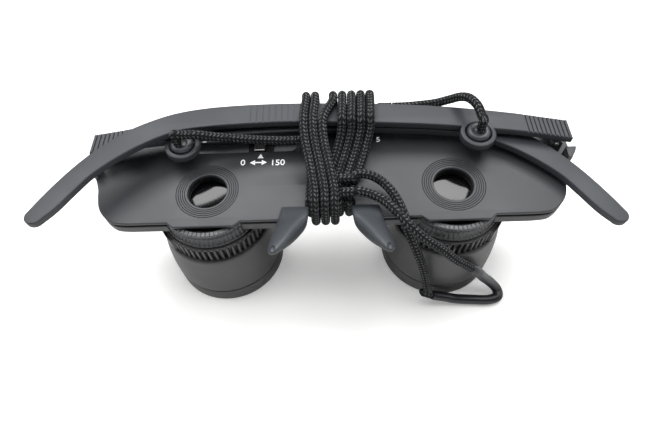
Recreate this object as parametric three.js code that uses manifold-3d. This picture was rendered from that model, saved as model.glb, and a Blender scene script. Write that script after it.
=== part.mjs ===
// Binocular glasses: two small telescopes under a spectacle front, with folding
// temples, nose pads and a neck cord wound round the bridge and the folded temples.
// Millimetres, +Z up. The glasses stand on their two objective rims, the side that
// faces the wearer up. +X is the wearer's right in the picture, +Y the top of the head.

import * as THREE from 'three';
import { mergeVertices } from 'three/addons/utils/BufferGeometryUtils.js';
import Module from 'manifold-3d';

const wasm = await Module();
wasm.setup();

// Driving sizes of the whole
const pupilDistance = 64;
const plateTop = 33.7;
const seam = 0.2;
const running = 0.3;
const overrun = 1;

// Plate: the cover that faces the wearer, and the housing under it
const coverThick = 1.0;
const coverEdge = 0.3;
const housingDeep = 3.1;
const housingEdge = 0.6;
const plateHalfWide = 64.6;
const plateFront = 9.4;
const plateBack = 18.6;
const tabReach = 1.4;
const archHalfWide = 12.5;
const archRise = 2.9;

// Notch in the middle of the arch, which the cord is wound through
const notchHalfWide = 6.2;
const notchRise = 5.8;
const notchCorner = 0.8;

// Hollow of the bridge, where the nose goes under the plate's edge
const scoopHalfWide = 5.9;
const scoopDeep = 2.4;
const scoopLong = 11.5;

// Sight holes of the cover, with the rings moulded round each
const sightRings = 5;
const firstRingInset = 0.8;
const ringPitch = 0.55;
const ringCutWide = 0.26;
const ringCutDeep = 0.16;

// Barrels, with the radii of the pieces on their axis as shares of rimRadius
const rimRadius = 16.4;
const barrelTopShare = 0.915;
const boreShare = 0.805;
const neckShare = 0.707;
const ringSmoothShare = 0.909;
const toothTipShare = 0.872;
const collarShare = 0.799;
const collarLipShare = 0.823;
const eyeLensShare = 0.427;
const sightShare = 0.311;
const rimTall = 5.4;
const rimLand = 1.5;
const barrelTop = 21.4;
const neckWall = 1.0;
const neckTop = 31.0;
const spigotWall = 1.1;
const spigotTall = 2.6;

// Objective cell, which the focus ring screws in and out, and its lens
const cellTall = 7.5;
const cellLift = 1.2;
const cellWall = 1.0;
const cellLip = 0.8;
const lensClear = 0.2;
const objectiveEdge = 1.7;
const objectiveBulge = 1.3;

// Focus rings
const ringTall = 5.4;
const toothDeep = 0.8;
const toothCount = 30;
const toothPitchDegrees = 6.4;
const toothTopShare = 0.42;
const toothRootShare = 0.36;
const toothCentreDegrees = 150;
const ringRimTall = 0.7;

// Collars between the focus rings and the cover
const collarLipTall = 0.7;
const collarFlange = 0.6;
const coveDeep = 0.9;

// Eyepieces
const eyepieceDeep = 8.0;
const eyepieceTopWall = 1.6;
const eyeLensEdge = 2.6;
const eyeLensHollow = 0.9;

// Diopter slider and its slot in the cover
const slotLeft = -40.5;
const slotRight = -8.7;
const slotMiddleY = 14.5;
const slotWide = 4.0;
const sliderX = -18.8;
const sliderLong = 3.0;
const sliderProud = 1.2;
const sliderFootLong = 7.0;
const sliderFootWide = 5.4;
const sliderFootThick = 0.5;
const trayFloor = 0.9;
const trayMargin = 1.4;

// Hinges
const hingeInset = 4.8;
const hingeZ = 36.3;
const knuckleRadius = 1.5;
const pinRadius = 0.7;
const hingeMiddleY = 12.8;
const knuckleLong = 2.8;
const earLong = 1.5;
const hingeWall = 0.6;
const hingeWallTop = 37.3;
const hingeWallFront = 5.0;
const hingeWallEnd = 8.2;
const hingeWallBack = 17.2;
const hingeReliefDeep = 0.6;
const hingeSeatReach = 2.4;

// Temples
const templeThick = 2.0;
const templeEdge = 0.35;
const templeReachShare = 2.0356;
const templeBow = 19.0;
const templeBroad = 6.75;
const foldTilt = 1.5;
const gripRibs = 10;
const gripRibsFrom = 1.6;
const gripRibPitch = 1.08;
const gripRibWide = 0.42;
const gripRibDeep = 0.3;
const fineRibs = 9;
const fineRibPitch = 1.65;
const fineRibWide = 0.35;
const fineRibDeep = 0.15;
const fineRibsFrom = 67.1;

// Eyelets of the temples and the cord's end beads
const eyeletAlong = 21.2;
const eyeletY = 11.1;
const eyeletRadius = 4.6;
const eyeletWall = 1.3;
const beadProud = 0.85;
const beadUnder = 0.6;
const beadEdge = 0.7;

// Nose pads
const padReach = 22.0;
const padTipZ = 39.4;
const padBaseInner = 6.1;
const padBaseOuter = 12.4;
const padTipInner = 13.3;
const padTipOuter = 15.9;

// Screws that hold the cover to the housing
const screwHeadRadius = 1.8;
const screwHeadTall = 0.9;
const screwRadius = 0.9;
const screwSlotWide = 0.5;
const screwSlotDeep = 0.4;

// Facet counts
const roundSteps = 30;
const grooveSteps = 20;
const innerSteps = 24;
const smallSteps = 16;
const screwSteps = 12;

// Radii and heights that follow from the sizes above
const barrelTopRadius = barrelTopShare * rimRadius;
const boreRadius = boreShare * rimRadius;
const neckRadius = neckShare * rimRadius;
const ringSmoothRadius = ringSmoothShare * rimRadius;
const toothTipRadius = toothTipShare * rimRadius;
const collarRadius = collarShare * rimRadius;
const collarLipRadius = collarLipShare * rimRadius;
const eyeLensRadius = eyeLensShare * rimRadius;
const sightRadius = sightShare * rimRadius;
const hingeX = plateHalfWide - hingeInset;
const hingeSeatInner = hingeX - hingeSeatReach;
const templeReach = templeReachShare * plateHalfWide;
const coverBottom = plateTop - coverThick;
const housingTop = coverBottom - seam;
const housingBottom = housingTop - housingDeep;
const barrelBottom = rimTall + seam;
const ringBottom = barrelTop + running;
const ringTop = ringBottom + ringTall;
const collarBottom = ringTop + running;
const axisX = pupilDistance / 2;
const notchY = -plateFront + notchRise;

// Solids and geometry

function facingOut(geometry) {
  // Turns the triangles round where the volume they enclose is negative
  const at = geometry.getAttribute('position');
  const index = geometry.getIndex().array;
  const a = new THREE.Vector3();
  const b = new THREE.Vector3();
  const c = new THREE.Vector3();
  let volume = 0;
  for (let i = 0; i < index.length; i += 3) {
    a.fromBufferAttribute(at, index[i]);
    b.fromBufferAttribute(at, index[i + 1]);
    c.fromBufferAttribute(at, index[i + 2]);
    volume += a.dot(b.cross(c));
  }
  if (volume < 0) {
    for (let i = 0; i < index.length; i += 3) {
      [index[i + 1], index[i + 2]] = [index[i + 2], index[i + 1]];
    }
  }
  return geometry;
}

function welded(geometry) {
  const bare = geometry.clone();
  bare.deleteAttribute('normal');
  bare.deleteAttribute('uv');
  return facingOut(mergeVertices(bare, seam * 1e-3));
}

function toSolid(geometry) {
  const shell = welded(geometry);
  return new wasm.Manifold(new wasm.Mesh({
    numProp: 3,
    vertProperties: new Float32Array(shell.getAttribute('position').array),
    triVerts: new Uint32Array(shell.getIndex().array),
  }));
}

function toGeometry(solid) {
  const mesh = solid.getMesh();
  const geometry = new THREE.BufferGeometry();
  geometry.setAttribute('position', new THREE.BufferAttribute(new Float32Array(mesh.vertProperties), 3));
  geometry.setIndex(new THREE.BufferAttribute(new Uint32Array(mesh.triVerts), 1));
  return geometry;
}

function joined(...geometries) {
  return toGeometry(geometries.map(toSolid).reduce((whole, next) => whole.add(next)));
}

function cut(geometry, ...cutters) {
  const whole = toSolid(geometry);
  return toGeometry(cutters.map(toSolid).reduce((rest, cutter) => rest.subtract(cutter), whole));
}

function common(geometry, other) {
  return toGeometry(toSolid(geometry).intersect(toSolid(other)));
}

function mirrored(geometry) {
  return facingOut(welded(geometry.clone().scale(-1, 1, 1)));
}

function revolved(profile, steps = roundSteps) {
  // Profile points are [radius, height]; the axis is +Z
  const points = profile.map(([radius, height]) => new THREE.Vector2(radius, height));
  return welded(new THREE.LatheGeometry(points, steps).rotateX(Math.PI / 2));
}

function tubeWall(inner, outer, bottom, top, steps = roundSteps) {
  return revolved([[inner, bottom], [outer, bottom], [outer, top], [inner, top], [inner, bottom]], steps);
}

function disc(radius, bottom, top, steps = roundSteps) {
  return revolved([[0, bottom], [radius, bottom], [radius, top], [0, top]], steps);
}

function block(x0, x1, y0, y1, z0, z1) {
  const box = new THREE.BoxGeometry(x1 - x0, y1 - y0, z1 - z0);
  return box.translate((x0 + x1) / 2, (y0 + y1) / 2, (z0 + z1) / 2);
}

function rodY(radius, x, z, y0, y1, steps = smallSteps) {
  const rod = new THREE.CylinderGeometry(radius, radius, y1 - y0, steps);
  return rod.translate(x, (y0 + y1) / 2, z);
}

function slab(shape, bottom, top, edge = 0, edgeSteps = 1) {
  // An outline made thick, its edges rounded by edge and its outer size unchanged
  const depth = top - bottom - 2 * edge;
  const geometry = new THREE.ExtrudeGeometry(shape, {
    depth,
    curveSegments: smallSteps,
    bevelEnabled: edge > 0,
    bevelThickness: edge,
    bevelSize: edge,
    bevelOffset: -edge,
    bevelSegments: edgeSteps,
  });
  return geometry.translate(0, 0, bottom + edge);
}

function smoothThrough(points, steps) {
  return new THREE.CatmullRomCurve3(points, false, 'centripetal').getPoints(steps);
}

// Finishes
const plastics = {
  shell: { color: 0x2b2d31, roughness: 0.55, metalness: 0 },
  cover: { color: 0x34373c, roughness: 0.5, metalness: 0 },
  barrel: { color: 0x1d1d20, roughness: 0.5, metalness: 0 },
  ring: { color: 0x161617, roughness: 0.6, metalness: 0 },
  inner: { color: 0x101011, roughness: 0.8, metalness: 0 },
  temple: { color: 0x3a3f45, roughness: 0.5, metalness: 0 },
  rubber: { color: 0x3d434a, roughness: 0.7, metalness: 0 },
  glass: { color: 0xcfd8dc, roughness: 0.05, metalness: 0 },
  metal: { color: 0x9a9a9a, roughness: 0.35, metalness: 1 },
  cord: { color: 0x111112, roughness: 0.9, metalness: 0 },
  sleeve: { color: 0x0c0c0e, roughness: 0.45, metalness: 0 },
};

const glasses = new THREE.Group();

function piece(name, geometry, finish, parent = glasses) {
  const mesh = new THREE.Mesh(welded(geometry), new THREE.MeshStandardMaterial(plastics[finish]));
  mesh.name = name;
  parent.add(mesh);
  return mesh;
}

const sides = [['left', -1], ['right', 1]];

// Outline of the plate

// Side of the plate from its front edge round the wing, the waist and the hinge lug
// to the back edge: shares of plateHalfWide across and of plateBack up
const wingShares = [
  [0.79, -0.505], [0.852, -0.478], [0.898, -0.36], [0.924, -0.226], [0.938, -0.065], [0.947, 0.086],
  [0.967, 0.258], [0.992, 0.409], [1.0, 0.565], [0.997, 0.753], [0.981, 0.914], [0.937, 1.0],
];
const tabHalfShare = 0.24;
const tabShoulderShare = 0.29;

function halfOutline(withTab) {
  // Right half of the outline from the middle of the notch to the middle of the back
  const points = [new THREE.Vector2(0, notchY)];
  const archSteps = smallSteps / 2;
  for (let i = 0; i <= archSteps / 2; i += 1) {
    const angle = (i / archSteps) * Math.PI;
    points.push(new THREE.Vector2(
      notchHalfWide - notchCorner * (1 - Math.sin(angle)),
      notchY - notchCorner * (1 - Math.cos(angle))));
  }
  for (let i = 0; i <= archSteps; i += 1) {
    const x = THREE.MathUtils.lerp(notchHalfWide, archHalfWide, i / archSteps);
    const lift = archRise * Math.cos((x / archHalfWide) * (Math.PI / 2)) ** 2;
    points.push(new THREE.Vector2(x, -plateFront + lift));
  }
  if (withTab) {
    const tabHalf = tabHalfShare * axisX;
    const shoulderHalf = tabShoulderShare * axisX;
    points.push(new THREE.Vector2(axisX - shoulderHalf, -plateFront));
    points.push(new THREE.Vector2(axisX - tabHalf, -plateFront - tabReach));
    points.push(new THREE.Vector2(axisX + tabHalf, -plateFront - tabReach));
    points.push(new THREE.Vector2(axisX + shoulderHalf, -plateFront));
  }
  const wing = wingShares.map(([across, up]) => (
    new THREE.Vector3(across * plateHalfWide, up * plateBack, 0)));
  for (const point of smoothThrough(wing, smallSteps)) {
    points.push(new THREE.Vector2(point.x, point.y));
  }
  return points;
}

function plateShape(withTab) {
  const right = halfOutline(withTab);
  const left = right.slice(1).reverse().map((point) => new THREE.Vector2(-point.x, point.y));
  return new THREE.Shape([...right, ...left]);
}

// Cover and housing

function ringCut(radius) {
  // A moulded ring, sharp at its bottom, cut down into the cover's top face
  const half = ringCutWide / 2;
  const rise = ringCutDeep;
  const spread = half * (1 + overrun / rise);
  return revolved([
    [radius, plateTop - rise],
    [radius + spread, plateTop + overrun],
    [radius - spread, plateTop + overrun],
    [radius, plateTop - rise],
  ], grooveSteps);
}

function slotShape(margin = 0) {
  const shape = new THREE.Shape();
  const radius = slotWide / 2 + margin;
  shape.absarc(slotRight - slotWide / 2, slotMiddleY, radius, -Math.PI / 2, Math.PI / 2);
  shape.absarc(slotLeft + slotWide / 2, slotMiddleY, radius, Math.PI / 2, (Math.PI * 3) / 2);
  return shape;
}

function hingeSeat(side, bottom, top, gap = 0) {
  const near = side * (hingeSeatInner + gap);
  const far = side * (plateHalfWide + overrun);
  return block(
    Math.min(near, far), Math.max(near, far),
    hingeWallFront + gap, hingeWallBack - gap,
    bottom, top);
}

function backCover() {
  const cutters = [slab(slotShape(), coverBottom - overrun, plateTop + overrun), noseScoop()];
  for (const [, side] of sides) {
    cutters.push(disc(sightRadius, coverBottom - overrun, plateTop + overrun)
      .translate(side * axisX, 0, 0));
    for (let i = 0; i < sightRings; i += 1) {
      cutters.push(ringCut(sightRadius + firstRingInset + i * ringPitch).translate(side * axisX, 0, 0));
    }
    cutters.push(hingeSeat(side, coverBottom - overrun, plateTop + overrun));
  }
  return cut(slab(plateShape(true), coverBottom, plateTop, coverEdge), ...cutters);
}

function noseScoop() {
  // An oval gouge that starts level with the plate and is deepest at its front edge
  const frontY = -plateFront + archRise;
  const tilt = Math.atan2(scoopDeep, scoopLong);
  const gouge = new THREE.CylinderGeometry(1, 1, 2 * (scoopLong + plateFront), innerSteps);
  return gouge
    .scale(scoopHalfWide, 1, scoopDeep)
    .rotateX(tilt)
    .translate(0, frontY, plateTop);
}

const trayTop = coverBottom - sliderFootThick - 2 * seam;
const trayBottom = trayTop - trayFloor;

// Places of the cover's screws, up in shares of plateBack. The outer and the front ones
// stand at shares of the way from a collar to the side of the plate, the inner ones at a
// share of the way from the middle to a telescope.
const collarEdge = axisX + collarRadius;
const screwShares = { outer: [0.42, 0.2], front: [0.34, -0.22], inner: [0.33, 0.42] };
const screwPlaces = Object.entries(screwShares).map(([name, [across, up]]) => {
  const x = name === 'inner' ? across * axisX : collarEdge + across * (plateHalfWide - collarEdge);
  return [name, x, up * plateBack];
});

function frontHousing() {
  const cutters = [
    slab(slotShape(trayMargin), trayBottom - seam, housingTop + overrun),
    noseScoop(),
  ];
  for (const [, side] of sides) {
    cutters.push(disc(collarRadius + running, housingBottom - overrun, housingTop + overrun)
      .translate(side * axisX, 0, 0));
  }
  const headTop = housingBottom + screwHeadTall + seam;
  const screwHole = joined(
    disc(screwHeadRadius + running, housingBottom - overrun, headTop, screwSteps),
    disc(screwRadius + running, housingBottom - overrun, housingTop + overrun, screwSteps));
  for (const [, x, y] of screwPlaces) {
    cutters.push(screwHole.clone().translate(x, y, 0), screwHole.clone().translate(-x, y, 0));
  }
  return cut(slab(plateShape(false), housingBottom, housingTop, housingEdge), ...cutters);
}

piece('back_cover', backCover(), 'cover');
piece('front_housing', frontHousing(), 'shell');

function coverScrew() {
  return cut(
    revolved([
      [0, housingBottom + seam],
      [screwHeadRadius, housingBottom + seam],
      [screwHeadRadius, housingBottom + screwHeadTall],
      [screwRadius, housingBottom + screwHeadTall],
      [screwRadius, housingTop],
      [0, housingTop],
    ], screwSteps),
    block(-rimRadius, rimRadius, -screwSlotWide / 2, screwSlotWide / 2,
      housingBottom - overrun, housingBottom + seam + screwSlotDeep),
  );
}

for (const [hand, side] of sides) {
  for (const [name, x, y] of screwPlaces) {
    piece(`cover_screw_${name}_${hand}`, coverScrew(), 'metal').position.set(side * x, y, 0);
  }
}

// Diopter slider in its tray under the cover

function sliderTray() {
  // Its floor stops short of the collar, whose own flange is cut down to go on from it
  return cut(
    slab(slotShape(trayMargin - running), trayBottom, trayTop),
    disc(collarRadius + running, trayBottom - overrun, trayTop + overrun).translate(-axisX, 0, 0));
}

function sliderRelief() {
  return block(
    slotLeft - trayMargin, slotRight + trayMargin,
    slotMiddleY - sliderFootWide / 2 - running, plateBack,
    trayTop - seam, plateTop + overrun);
}

function diopterSlider() {
  const footTop = coverBottom - seam;
  const foot = block(
    -sliderFootLong / 2, sliderFootLong / 2, -sliderFootWide / 2, sliderFootWide / 2,
    footTop - sliderFootThick, footTop);
  const half = slotWide / 2 - running;
  const knobTop = plateTop + sliderProud;
  const knobProfile = new THREE.Shape([
    new THREE.Vector2(-sliderLong / 2, footTop - sliderFootThick / 2),
    new THREE.Vector2(sliderLong / 2, footTop - sliderFootThick / 2),
    new THREE.Vector2(sliderLong / 2, knobTop - sliderProud / 3),
    new THREE.Vector2(sliderLong / 3, knobTop),
    new THREE.Vector2(-sliderLong / 3, knobTop),
    new THREE.Vector2(-sliderLong / 2, knobTop - sliderProud / 3),
  ]);
  const knob = new THREE.ExtrudeGeometry(knobProfile, { depth: 2 * half, bevelEnabled: false })
    .rotateX(Math.PI / 2)
    .translate(0, half, 0);
  return joined(foot, knob).translate(sliderX, slotMiddleY, 0);
}

piece('slider_tray', sliderTray(), 'inner');
piece('diopter_slider', diopterSlider(), 'ring');

// Telescopes: all pieces of one are revolved about its own axis

function objectiveBezel() {
  const spigot = boreRadius + spigotWall;
  return revolved([
    [rimRadius - rimLand, 0],
    [rimRadius - housingEdge / 2, 0],
    [rimRadius, housingEdge / 2],
    [rimRadius, rimTall],
    [spigot, rimTall],
    [spigot, rimTall + spigotTall],
    [boreRadius, rimTall + spigotTall],
    [boreRadius, rimTall / 2],
    [rimRadius - rimLand, 0],
  ]);
}

function barrel() {
  const recess = boreRadius + spigotWall + running;
  const recessTop = rimTall + spigotTall + seam;
  const shoulder = barrelTop - spigotWall;
  return revolved([
    [recess, barrelBottom],
    [rimRadius, barrelBottom],
    [rimRadius - spigotWall / 4, barrelBottom + (barrelTop - barrelBottom) / 3],
    [
      (rimRadius + barrelTopRadius) / 2 + spigotWall / 8,
      barrelBottom + ((barrelTop - barrelBottom) * 2) / 3,
    ],
    [barrelTopRadius, barrelTop - housingEdge],
    [barrelTopRadius - housingEdge, barrelTop],
    [neckRadius, barrelTop],
    [neckRadius, neckTop],
    [neckRadius - neckWall, neckTop],
    [neckRadius - neckWall, shoulder],
    [boreRadius, shoulder - spigotWall],
    [boreRadius, recessTop],
    [recess, recessTop],
    [recess, barrelBottom],
  ]);
}

const cellRadius = boreRadius - running;
const cellBottom = rimTall + cellLift;
const lensSeat = cellBottom + cellTall / 2;

function objectiveCell() {
  const bore = cellRadius - cellWall;
  return revolved([
    [bore, cellBottom],
    [cellRadius, cellBottom],
    [cellRadius, cellBottom + cellTall],
    [bore, cellBottom + cellTall],
    [bore, lensSeat + cellLip],
    [bore - cellLip, lensSeat + cellLip],
    [bore - cellLip, lensSeat],
    [bore, lensSeat],
    [bore, cellBottom],
  ], innerSteps);
}

function bulged(radius, height, bulge, steps) {
  // Points of a lens face from its edge to its middle
  const points = [];
  for (let i = 0; i <= steps; i += 1) {
    const share = 1 - i / steps;
    points.push([radius * share, height + bulge * (1 - share * share)]);
  }
  return points;
}

const lensSteps = 3;

function objectiveLens() {
  const radius = cellRadius - cellWall - lensClear;
  const top = lensSeat - lensClear;
  const bottom = top - objectiveEdge;
  return revolved([
    ...bulged(radius, bottom, -objectiveBulge, lensSteps).reverse(),
    ...bulged(radius, top, objectiveBulge, lensSteps),
  ], innerSteps);
}

function focusRing() {
  // Teeth on the side of the nose and the brow, a smooth grip on the outside. The
  // angles are those of the right-hand ring.
  const pitch = THREE.MathUtils.degToRad(toothPitchDegrees);
  const start = THREE.MathUtils.degToRad(toothCentreDegrees) - (toothCount * pitch) / 2;
  const root = toothTipRadius - toothDeep;
  const outline = [];
  const polar = (radius, angle) => new THREE.Vector2(radius * Math.cos(angle), radius * Math.sin(angle));
  const flank = (1 - toothTopShare - toothRootShare) / 2;
  for (let i = 0; i < toothCount; i += 1) {
    const angle = start + i * pitch;
    outline.push(polar(root, angle));
    outline.push(polar(root, angle + toothRootShare * pitch));
    outline.push(polar(toothTipRadius, angle + (toothRootShare + flank) * pitch));
    outline.push(polar(toothTipRadius, angle + (1 - flank) * pitch));
  }
  const end = start + toothCount * pitch;
  outline.push(polar(root, end));
  const smoothFrom = end + pitch;
  const smoothTo = start + 2 * Math.PI - pitch;
  const smoothSteps = innerSteps / 2;
  for (let i = 0; i <= smoothSteps; i += 1) {
    outline.push(polar(ringSmoothRadius, smoothFrom + ((smoothTo - smoothFrom) * i) / smoothSteps));
  }
  const shape = new THREE.Shape(outline);
  const toothed = slab(shape, ringBottom, ringTop - ringRimTall / 2);
  const rim = disc(toothTipRadius - toothDeep / 2, ringTop - ringRimTall, ringTop);
  return cut(joined(toothed, rim), disc(neckRadius + running, ringBottom - overrun, ringTop + overrun));
}

function eyepieceCollar() {
  const inner = neckRadius + running;
  const coveBottom = collarBottom + collarLipTall;
  const coveTop = housingTop - collarFlange;
  const profile = [
    [inner, collarBottom],
    [collarLipRadius, collarBottom],
    [collarLipRadius, coveBottom],
  ];
  const coveSteps = smallSteps / 4;
  for (let i = 0; i <= coveSteps; i += 1) {
    const share = i / coveSteps;
    profile.push([
      collarRadius - coveDeep * Math.sin(share * Math.PI) * (1 - share / 2),
      coveBottom + (coveTop - coveBottom) * share,
    ]);
  }
  profile.push([collarRadius, housingTop], [inner, housingTop], [inner, collarBottom]);
  return revolved(profile);
}

const eyeTubeRadius = neckRadius - neckWall - running;
const eyeLensTop = housingTop - eyepieceTopWall - lensClear;

function eyepieceTube() {
  const seat = eyeLensRadius + lensClear;
  return revolved([
    [seat, housingTop - eyepieceDeep],
    [eyeTubeRadius, housingTop - eyepieceDeep],
    [eyeTubeRadius, housingTop],
    [sightRadius, housingTop],
    [sightRadius, housingTop - eyepieceTopWall],
    [seat, housingTop - eyepieceTopWall],
    [seat, housingTop - eyepieceDeep],
  ], innerSteps);
}

function eyepieceLens() {
  return revolved([
    ...bulged(eyeLensRadius, eyeLensTop - eyeLensEdge, 0, 1).reverse(),
    ...bulged(eyeLensRadius, eyeLensTop, -eyeLensHollow, lensSteps),
  ], innerSteps);
}

const telescope = [
  ['objective_bezel', objectiveBezel(), 'barrel'],
  ['barrel', barrel(), 'barrel'],
  ['objective_cell', objectiveCell(), 'inner'],
  ['objective_lens', objectiveLens(), 'glass'],
  ['focus_ring', focusRing(), 'ring'],
  ['eyepiece_collar', eyepieceCollar(), 'ring'],
  ['eyepiece_tube', eyepieceTube(), 'inner'],
  ['eyepiece_lens', eyepieceLens(), 'glass'],
];

for (const [hand, side] of sides) {
  for (const [name, geometry, finish] of telescope) {
    let own = side > 0 ? geometry : mirrored(geometry);
    if (name === 'eyepiece_collar' && side < 0) {
      own = cut(own, sliderRelief().translate(axisX, 0, 0));
    }
    piece(`${name}_${hand}`, own, finish).position.x = side * axisX;
  }
}

// Hinges: a lug with two ears and an outer wall, the pin, and the temple's knuckle

const earInner = knuckleLong / 2 + running;
const earOuter = earInner + earLong;

function hingeLug() {
  const base = common(
    slab(plateShape(true), coverBottom, plateTop, coverEdge),
    hingeSeat(1, coverBottom - overrun, plateTop + overrun, seam));
  const outline = common(
    slab(plateShape(true), coverBottom, hingeWallTop),
    hingeSeat(1, coverBottom, hingeWallTop, seam));
  const inside = slab(plateShape(true), coverBottom - overrun, hingeWallTop + overrun)
    .translate(-hingeWall, 0, 0);
  const outer = block(
    hingeX, plateHalfWide + overrun, 0, hingeWallEnd, plateTop - coverEdge, hingeWallTop);
  // The temple's end swings down into the relief when the temple opens
  const relief = block(
    hingeX + knuckleRadius, plateHalfWide + overrun, hingeWallEnd, plateBack,
    plateTop - hingeReliefDeep, plateTop + overrun);
  const lug = joined(cut(base, relief), common(cut(outline, inside), outer));
  const ears = [-1, 1].map((end) => {
    const y0 = hingeMiddleY + (end > 0 ? earInner : -earOuter);
    return joined(
      rodY(knuckleRadius, hingeX, hingeZ, y0, y0 + earLong),
      block(hingeX - knuckleRadius, hingeX + knuckleRadius, y0, y0 + earLong, plateTop - coverEdge, hingeZ),
    );
  });
  const holeHalf = earOuter + overrun;
  return cut(
    joined(lug, ...ears),
    rodY(pinRadius + running, hingeX, hingeZ, hingeMiddleY - holeHalf, hingeMiddleY + holeHalf));
}

function hingePin() {
  return rodY(pinRadius, hingeX, hingeZ, hingeMiddleY - earOuter, hingeMiddleY + earOuter);
}

// Temples, built level for the right hinge, with the hinge axis at x = 0 and z = 0

// Middle line and breadth from the hinge end to the rounded tip: shares of
// templeReach along, of templeBow up and of templeBroad across
const templeShares = [
  [-0.0198, 0.618, 0.904], [0.0289, 0.693, 0.881], [0.0958, 0.781, 0.926], [0.2114, 0.892, 0.985],
  [0.3179, 0.952, 1.0], [0.432, 0.987, 1.0], [0.531, 1.0, 0.978], [0.618, 0.979, 0.993],
  [0.694, 0.934, 0.985], [0.754, 0.856, 0.933], [0.801, 0.716, 0.941], [0.843, 0.537, 0.948],
  [0.881, 0.311, 0.889], [0.915, 0.047, 0.8], [0.94, -0.216, 0.8], [0.962, -0.474, 0.77],
  [0.979, -0.653, 0.637],
];
const templeSteps = 20;

function templeShape() {
  const middle = new THREE.CatmullRomCurve3(templeShares.map(([along, up]) => (
    new THREE.Vector3(along * templeReach, up * templeBow, 0))), false, 'centripetal');
  const breadth = new THREE.CatmullRomCurve3(templeShares.map(([along, , broad]) => (
    new THREE.Vector3(along * templeReach, (broad * templeBroad) / 2, 0))), false, 'centripetal');
  const upper = [];
  const lower = [];
  const squareEnd = new THREE.Vector3(1, 0, 0);
  for (let i = 0; i <= templeSteps; i += 1) {
    const share = i / templeSteps;
    const point = middle.getPoint(share);
    const way = i > 0 ? middle.getTangent(share) : squareEnd;
    const half = breadth.getPoint(share).y;
    upper.push(new THREE.Vector2(-point.x + way.y * half, point.y + way.x * half));
    lower.push(new THREE.Vector2(-point.x - way.y * half, point.y - way.x * half));
  }
  const tip = middle.getPoint(1);
  const tipWay = middle.getTangent(1);
  const tipHalf = breadth.getPoint(1).y;
  const rounded = [];
  const tipSteps = smallSteps / 2;
  for (let i = 1; i < tipSteps; i += 1) {
    const angle = Math.PI / 2 - (i * Math.PI) / tipSteps;
    const along = Math.cos(angle) * tipHalf;
    const across = Math.sin(angle) * tipHalf;
    rounded.push(new THREE.Vector2(
      -tip.x - tipWay.x * along + tipWay.y * across,
      tip.y + tipWay.y * along + tipWay.x * across));
  }
  return new THREE.Shape([...upper, ...rounded, ...lower.reverse()]);
}

const stripBottom = knuckleRadius + running;
const stripTop = stripBottom + templeThick;

function ribCut(along, wide, deep) {
  return block(
    -along - wide / 2, -along + wide / 2, -templeBow, templeBow + templeBroad,
    stripTop - deep, stripTop + overrun);
}

function temple() {
  const strip = slab(templeShape(), stripBottom, stripTop, templeEdge);
  const eyelet = disc(eyeletRadius, stripBottom, stripTop, innerSteps).translate(-eyeletAlong, eyeletY, 0);
  const knuckleFront = hingeMiddleY - knuckleLong / 2;
  const knuckleBack = hingeMiddleY + knuckleLong / 2;
  const knuckle = joined(
    rodY(knuckleRadius, 0, 0, knuckleFront, knuckleBack),
    block(-knuckleRadius, knuckleRadius, knuckleFront, knuckleBack, 0, stripBottom + templeEdge),
  );
  const cutters = [
    disc(eyeletRadius - eyeletWall, stripBottom - overrun, stripTop + overrun, innerSteps)
      .translate(-eyeletAlong, eyeletY, 0),
    rodY(pinRadius + running, 0, 0, knuckleFront - overrun, knuckleBack + overrun),
  ];
  for (let i = 0; i < gripRibs; i += 1) {
    cutters.push(ribCut(i * gripRibPitch - gripRibsFrom, gripRibWide, gripRibDeep));
  }
  for (let i = 0; i < fineRibs; i += 1) {
    cutters.push(ribCut(fineRibsFrom + i * fineRibPitch, fineRibWide, fineRibDeep));
  }
  return cut(joined(strip, eyelet, knuckle), ...cutters);
}

const beadRadius = eyeletRadius - eyeletWall - running;

function cordBead() {
  const bottom = stripBottom - beadUnder;
  const top = stripTop + beadProud;
  return revolved([
    [0, bottom],
    [beadRadius - beadEdge, bottom],
    [beadRadius, bottom + beadEdge],
    [beadRadius, top - beadEdge],
    [beadRadius - beadEdge / 3, top - beadEdge / 3],
    [beadRadius - beadEdge, top],
    [0, top],
  ], smallSteps).translate(-eyeletAlong, eyeletY, 0);
}

for (const [hand, side] of sides) {
  const own = (geometry) => (side > 0 ? geometry : mirrored(geometry));
  piece(`hinge_lug_${hand}`, own(hingeLug()), 'shell');
  piece(`hinge_pin_${hand}`, own(hingePin()), 'metal');
  const folded = new THREE.Group();
  folded.position.set(side * hingeX, 0, hingeZ);
  folded.rotation.y = THREE.MathUtils.degToRad(foldTilt);
  glasses.add(folded);
  piece(`temple_${hand}`, own(temple()), 'temple', folded);
  piece(`cord_bead_${hand}`, own(cordBead()), 'rubber', folded);
}

// Nose pads: a horn through oval sections, each [y, inner x, outer x, bottom, top]

const padSeat = plateTop + seam;
const padSections = [
  [0.275, 0.0, 0.0, 0.0, 0.08],
  [0.34, 0.0, 0.04, 0.0, 0.2],
  [0.437, 0.02, 0.16, 0.0, 0.32],
  [0.53, 0.12, 0.34, -0.42, 0.45],
  [0.66, 0.35, 0.6, -0.32, 0.63],
  [0.79, 0.65, 0.84, 0.05, 0.82],
  [0.91, 0.9, 0.97, 0.45, 0.96],
  [0.975, 1.0, 1.0, 0.72, 1.0],
];

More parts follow.
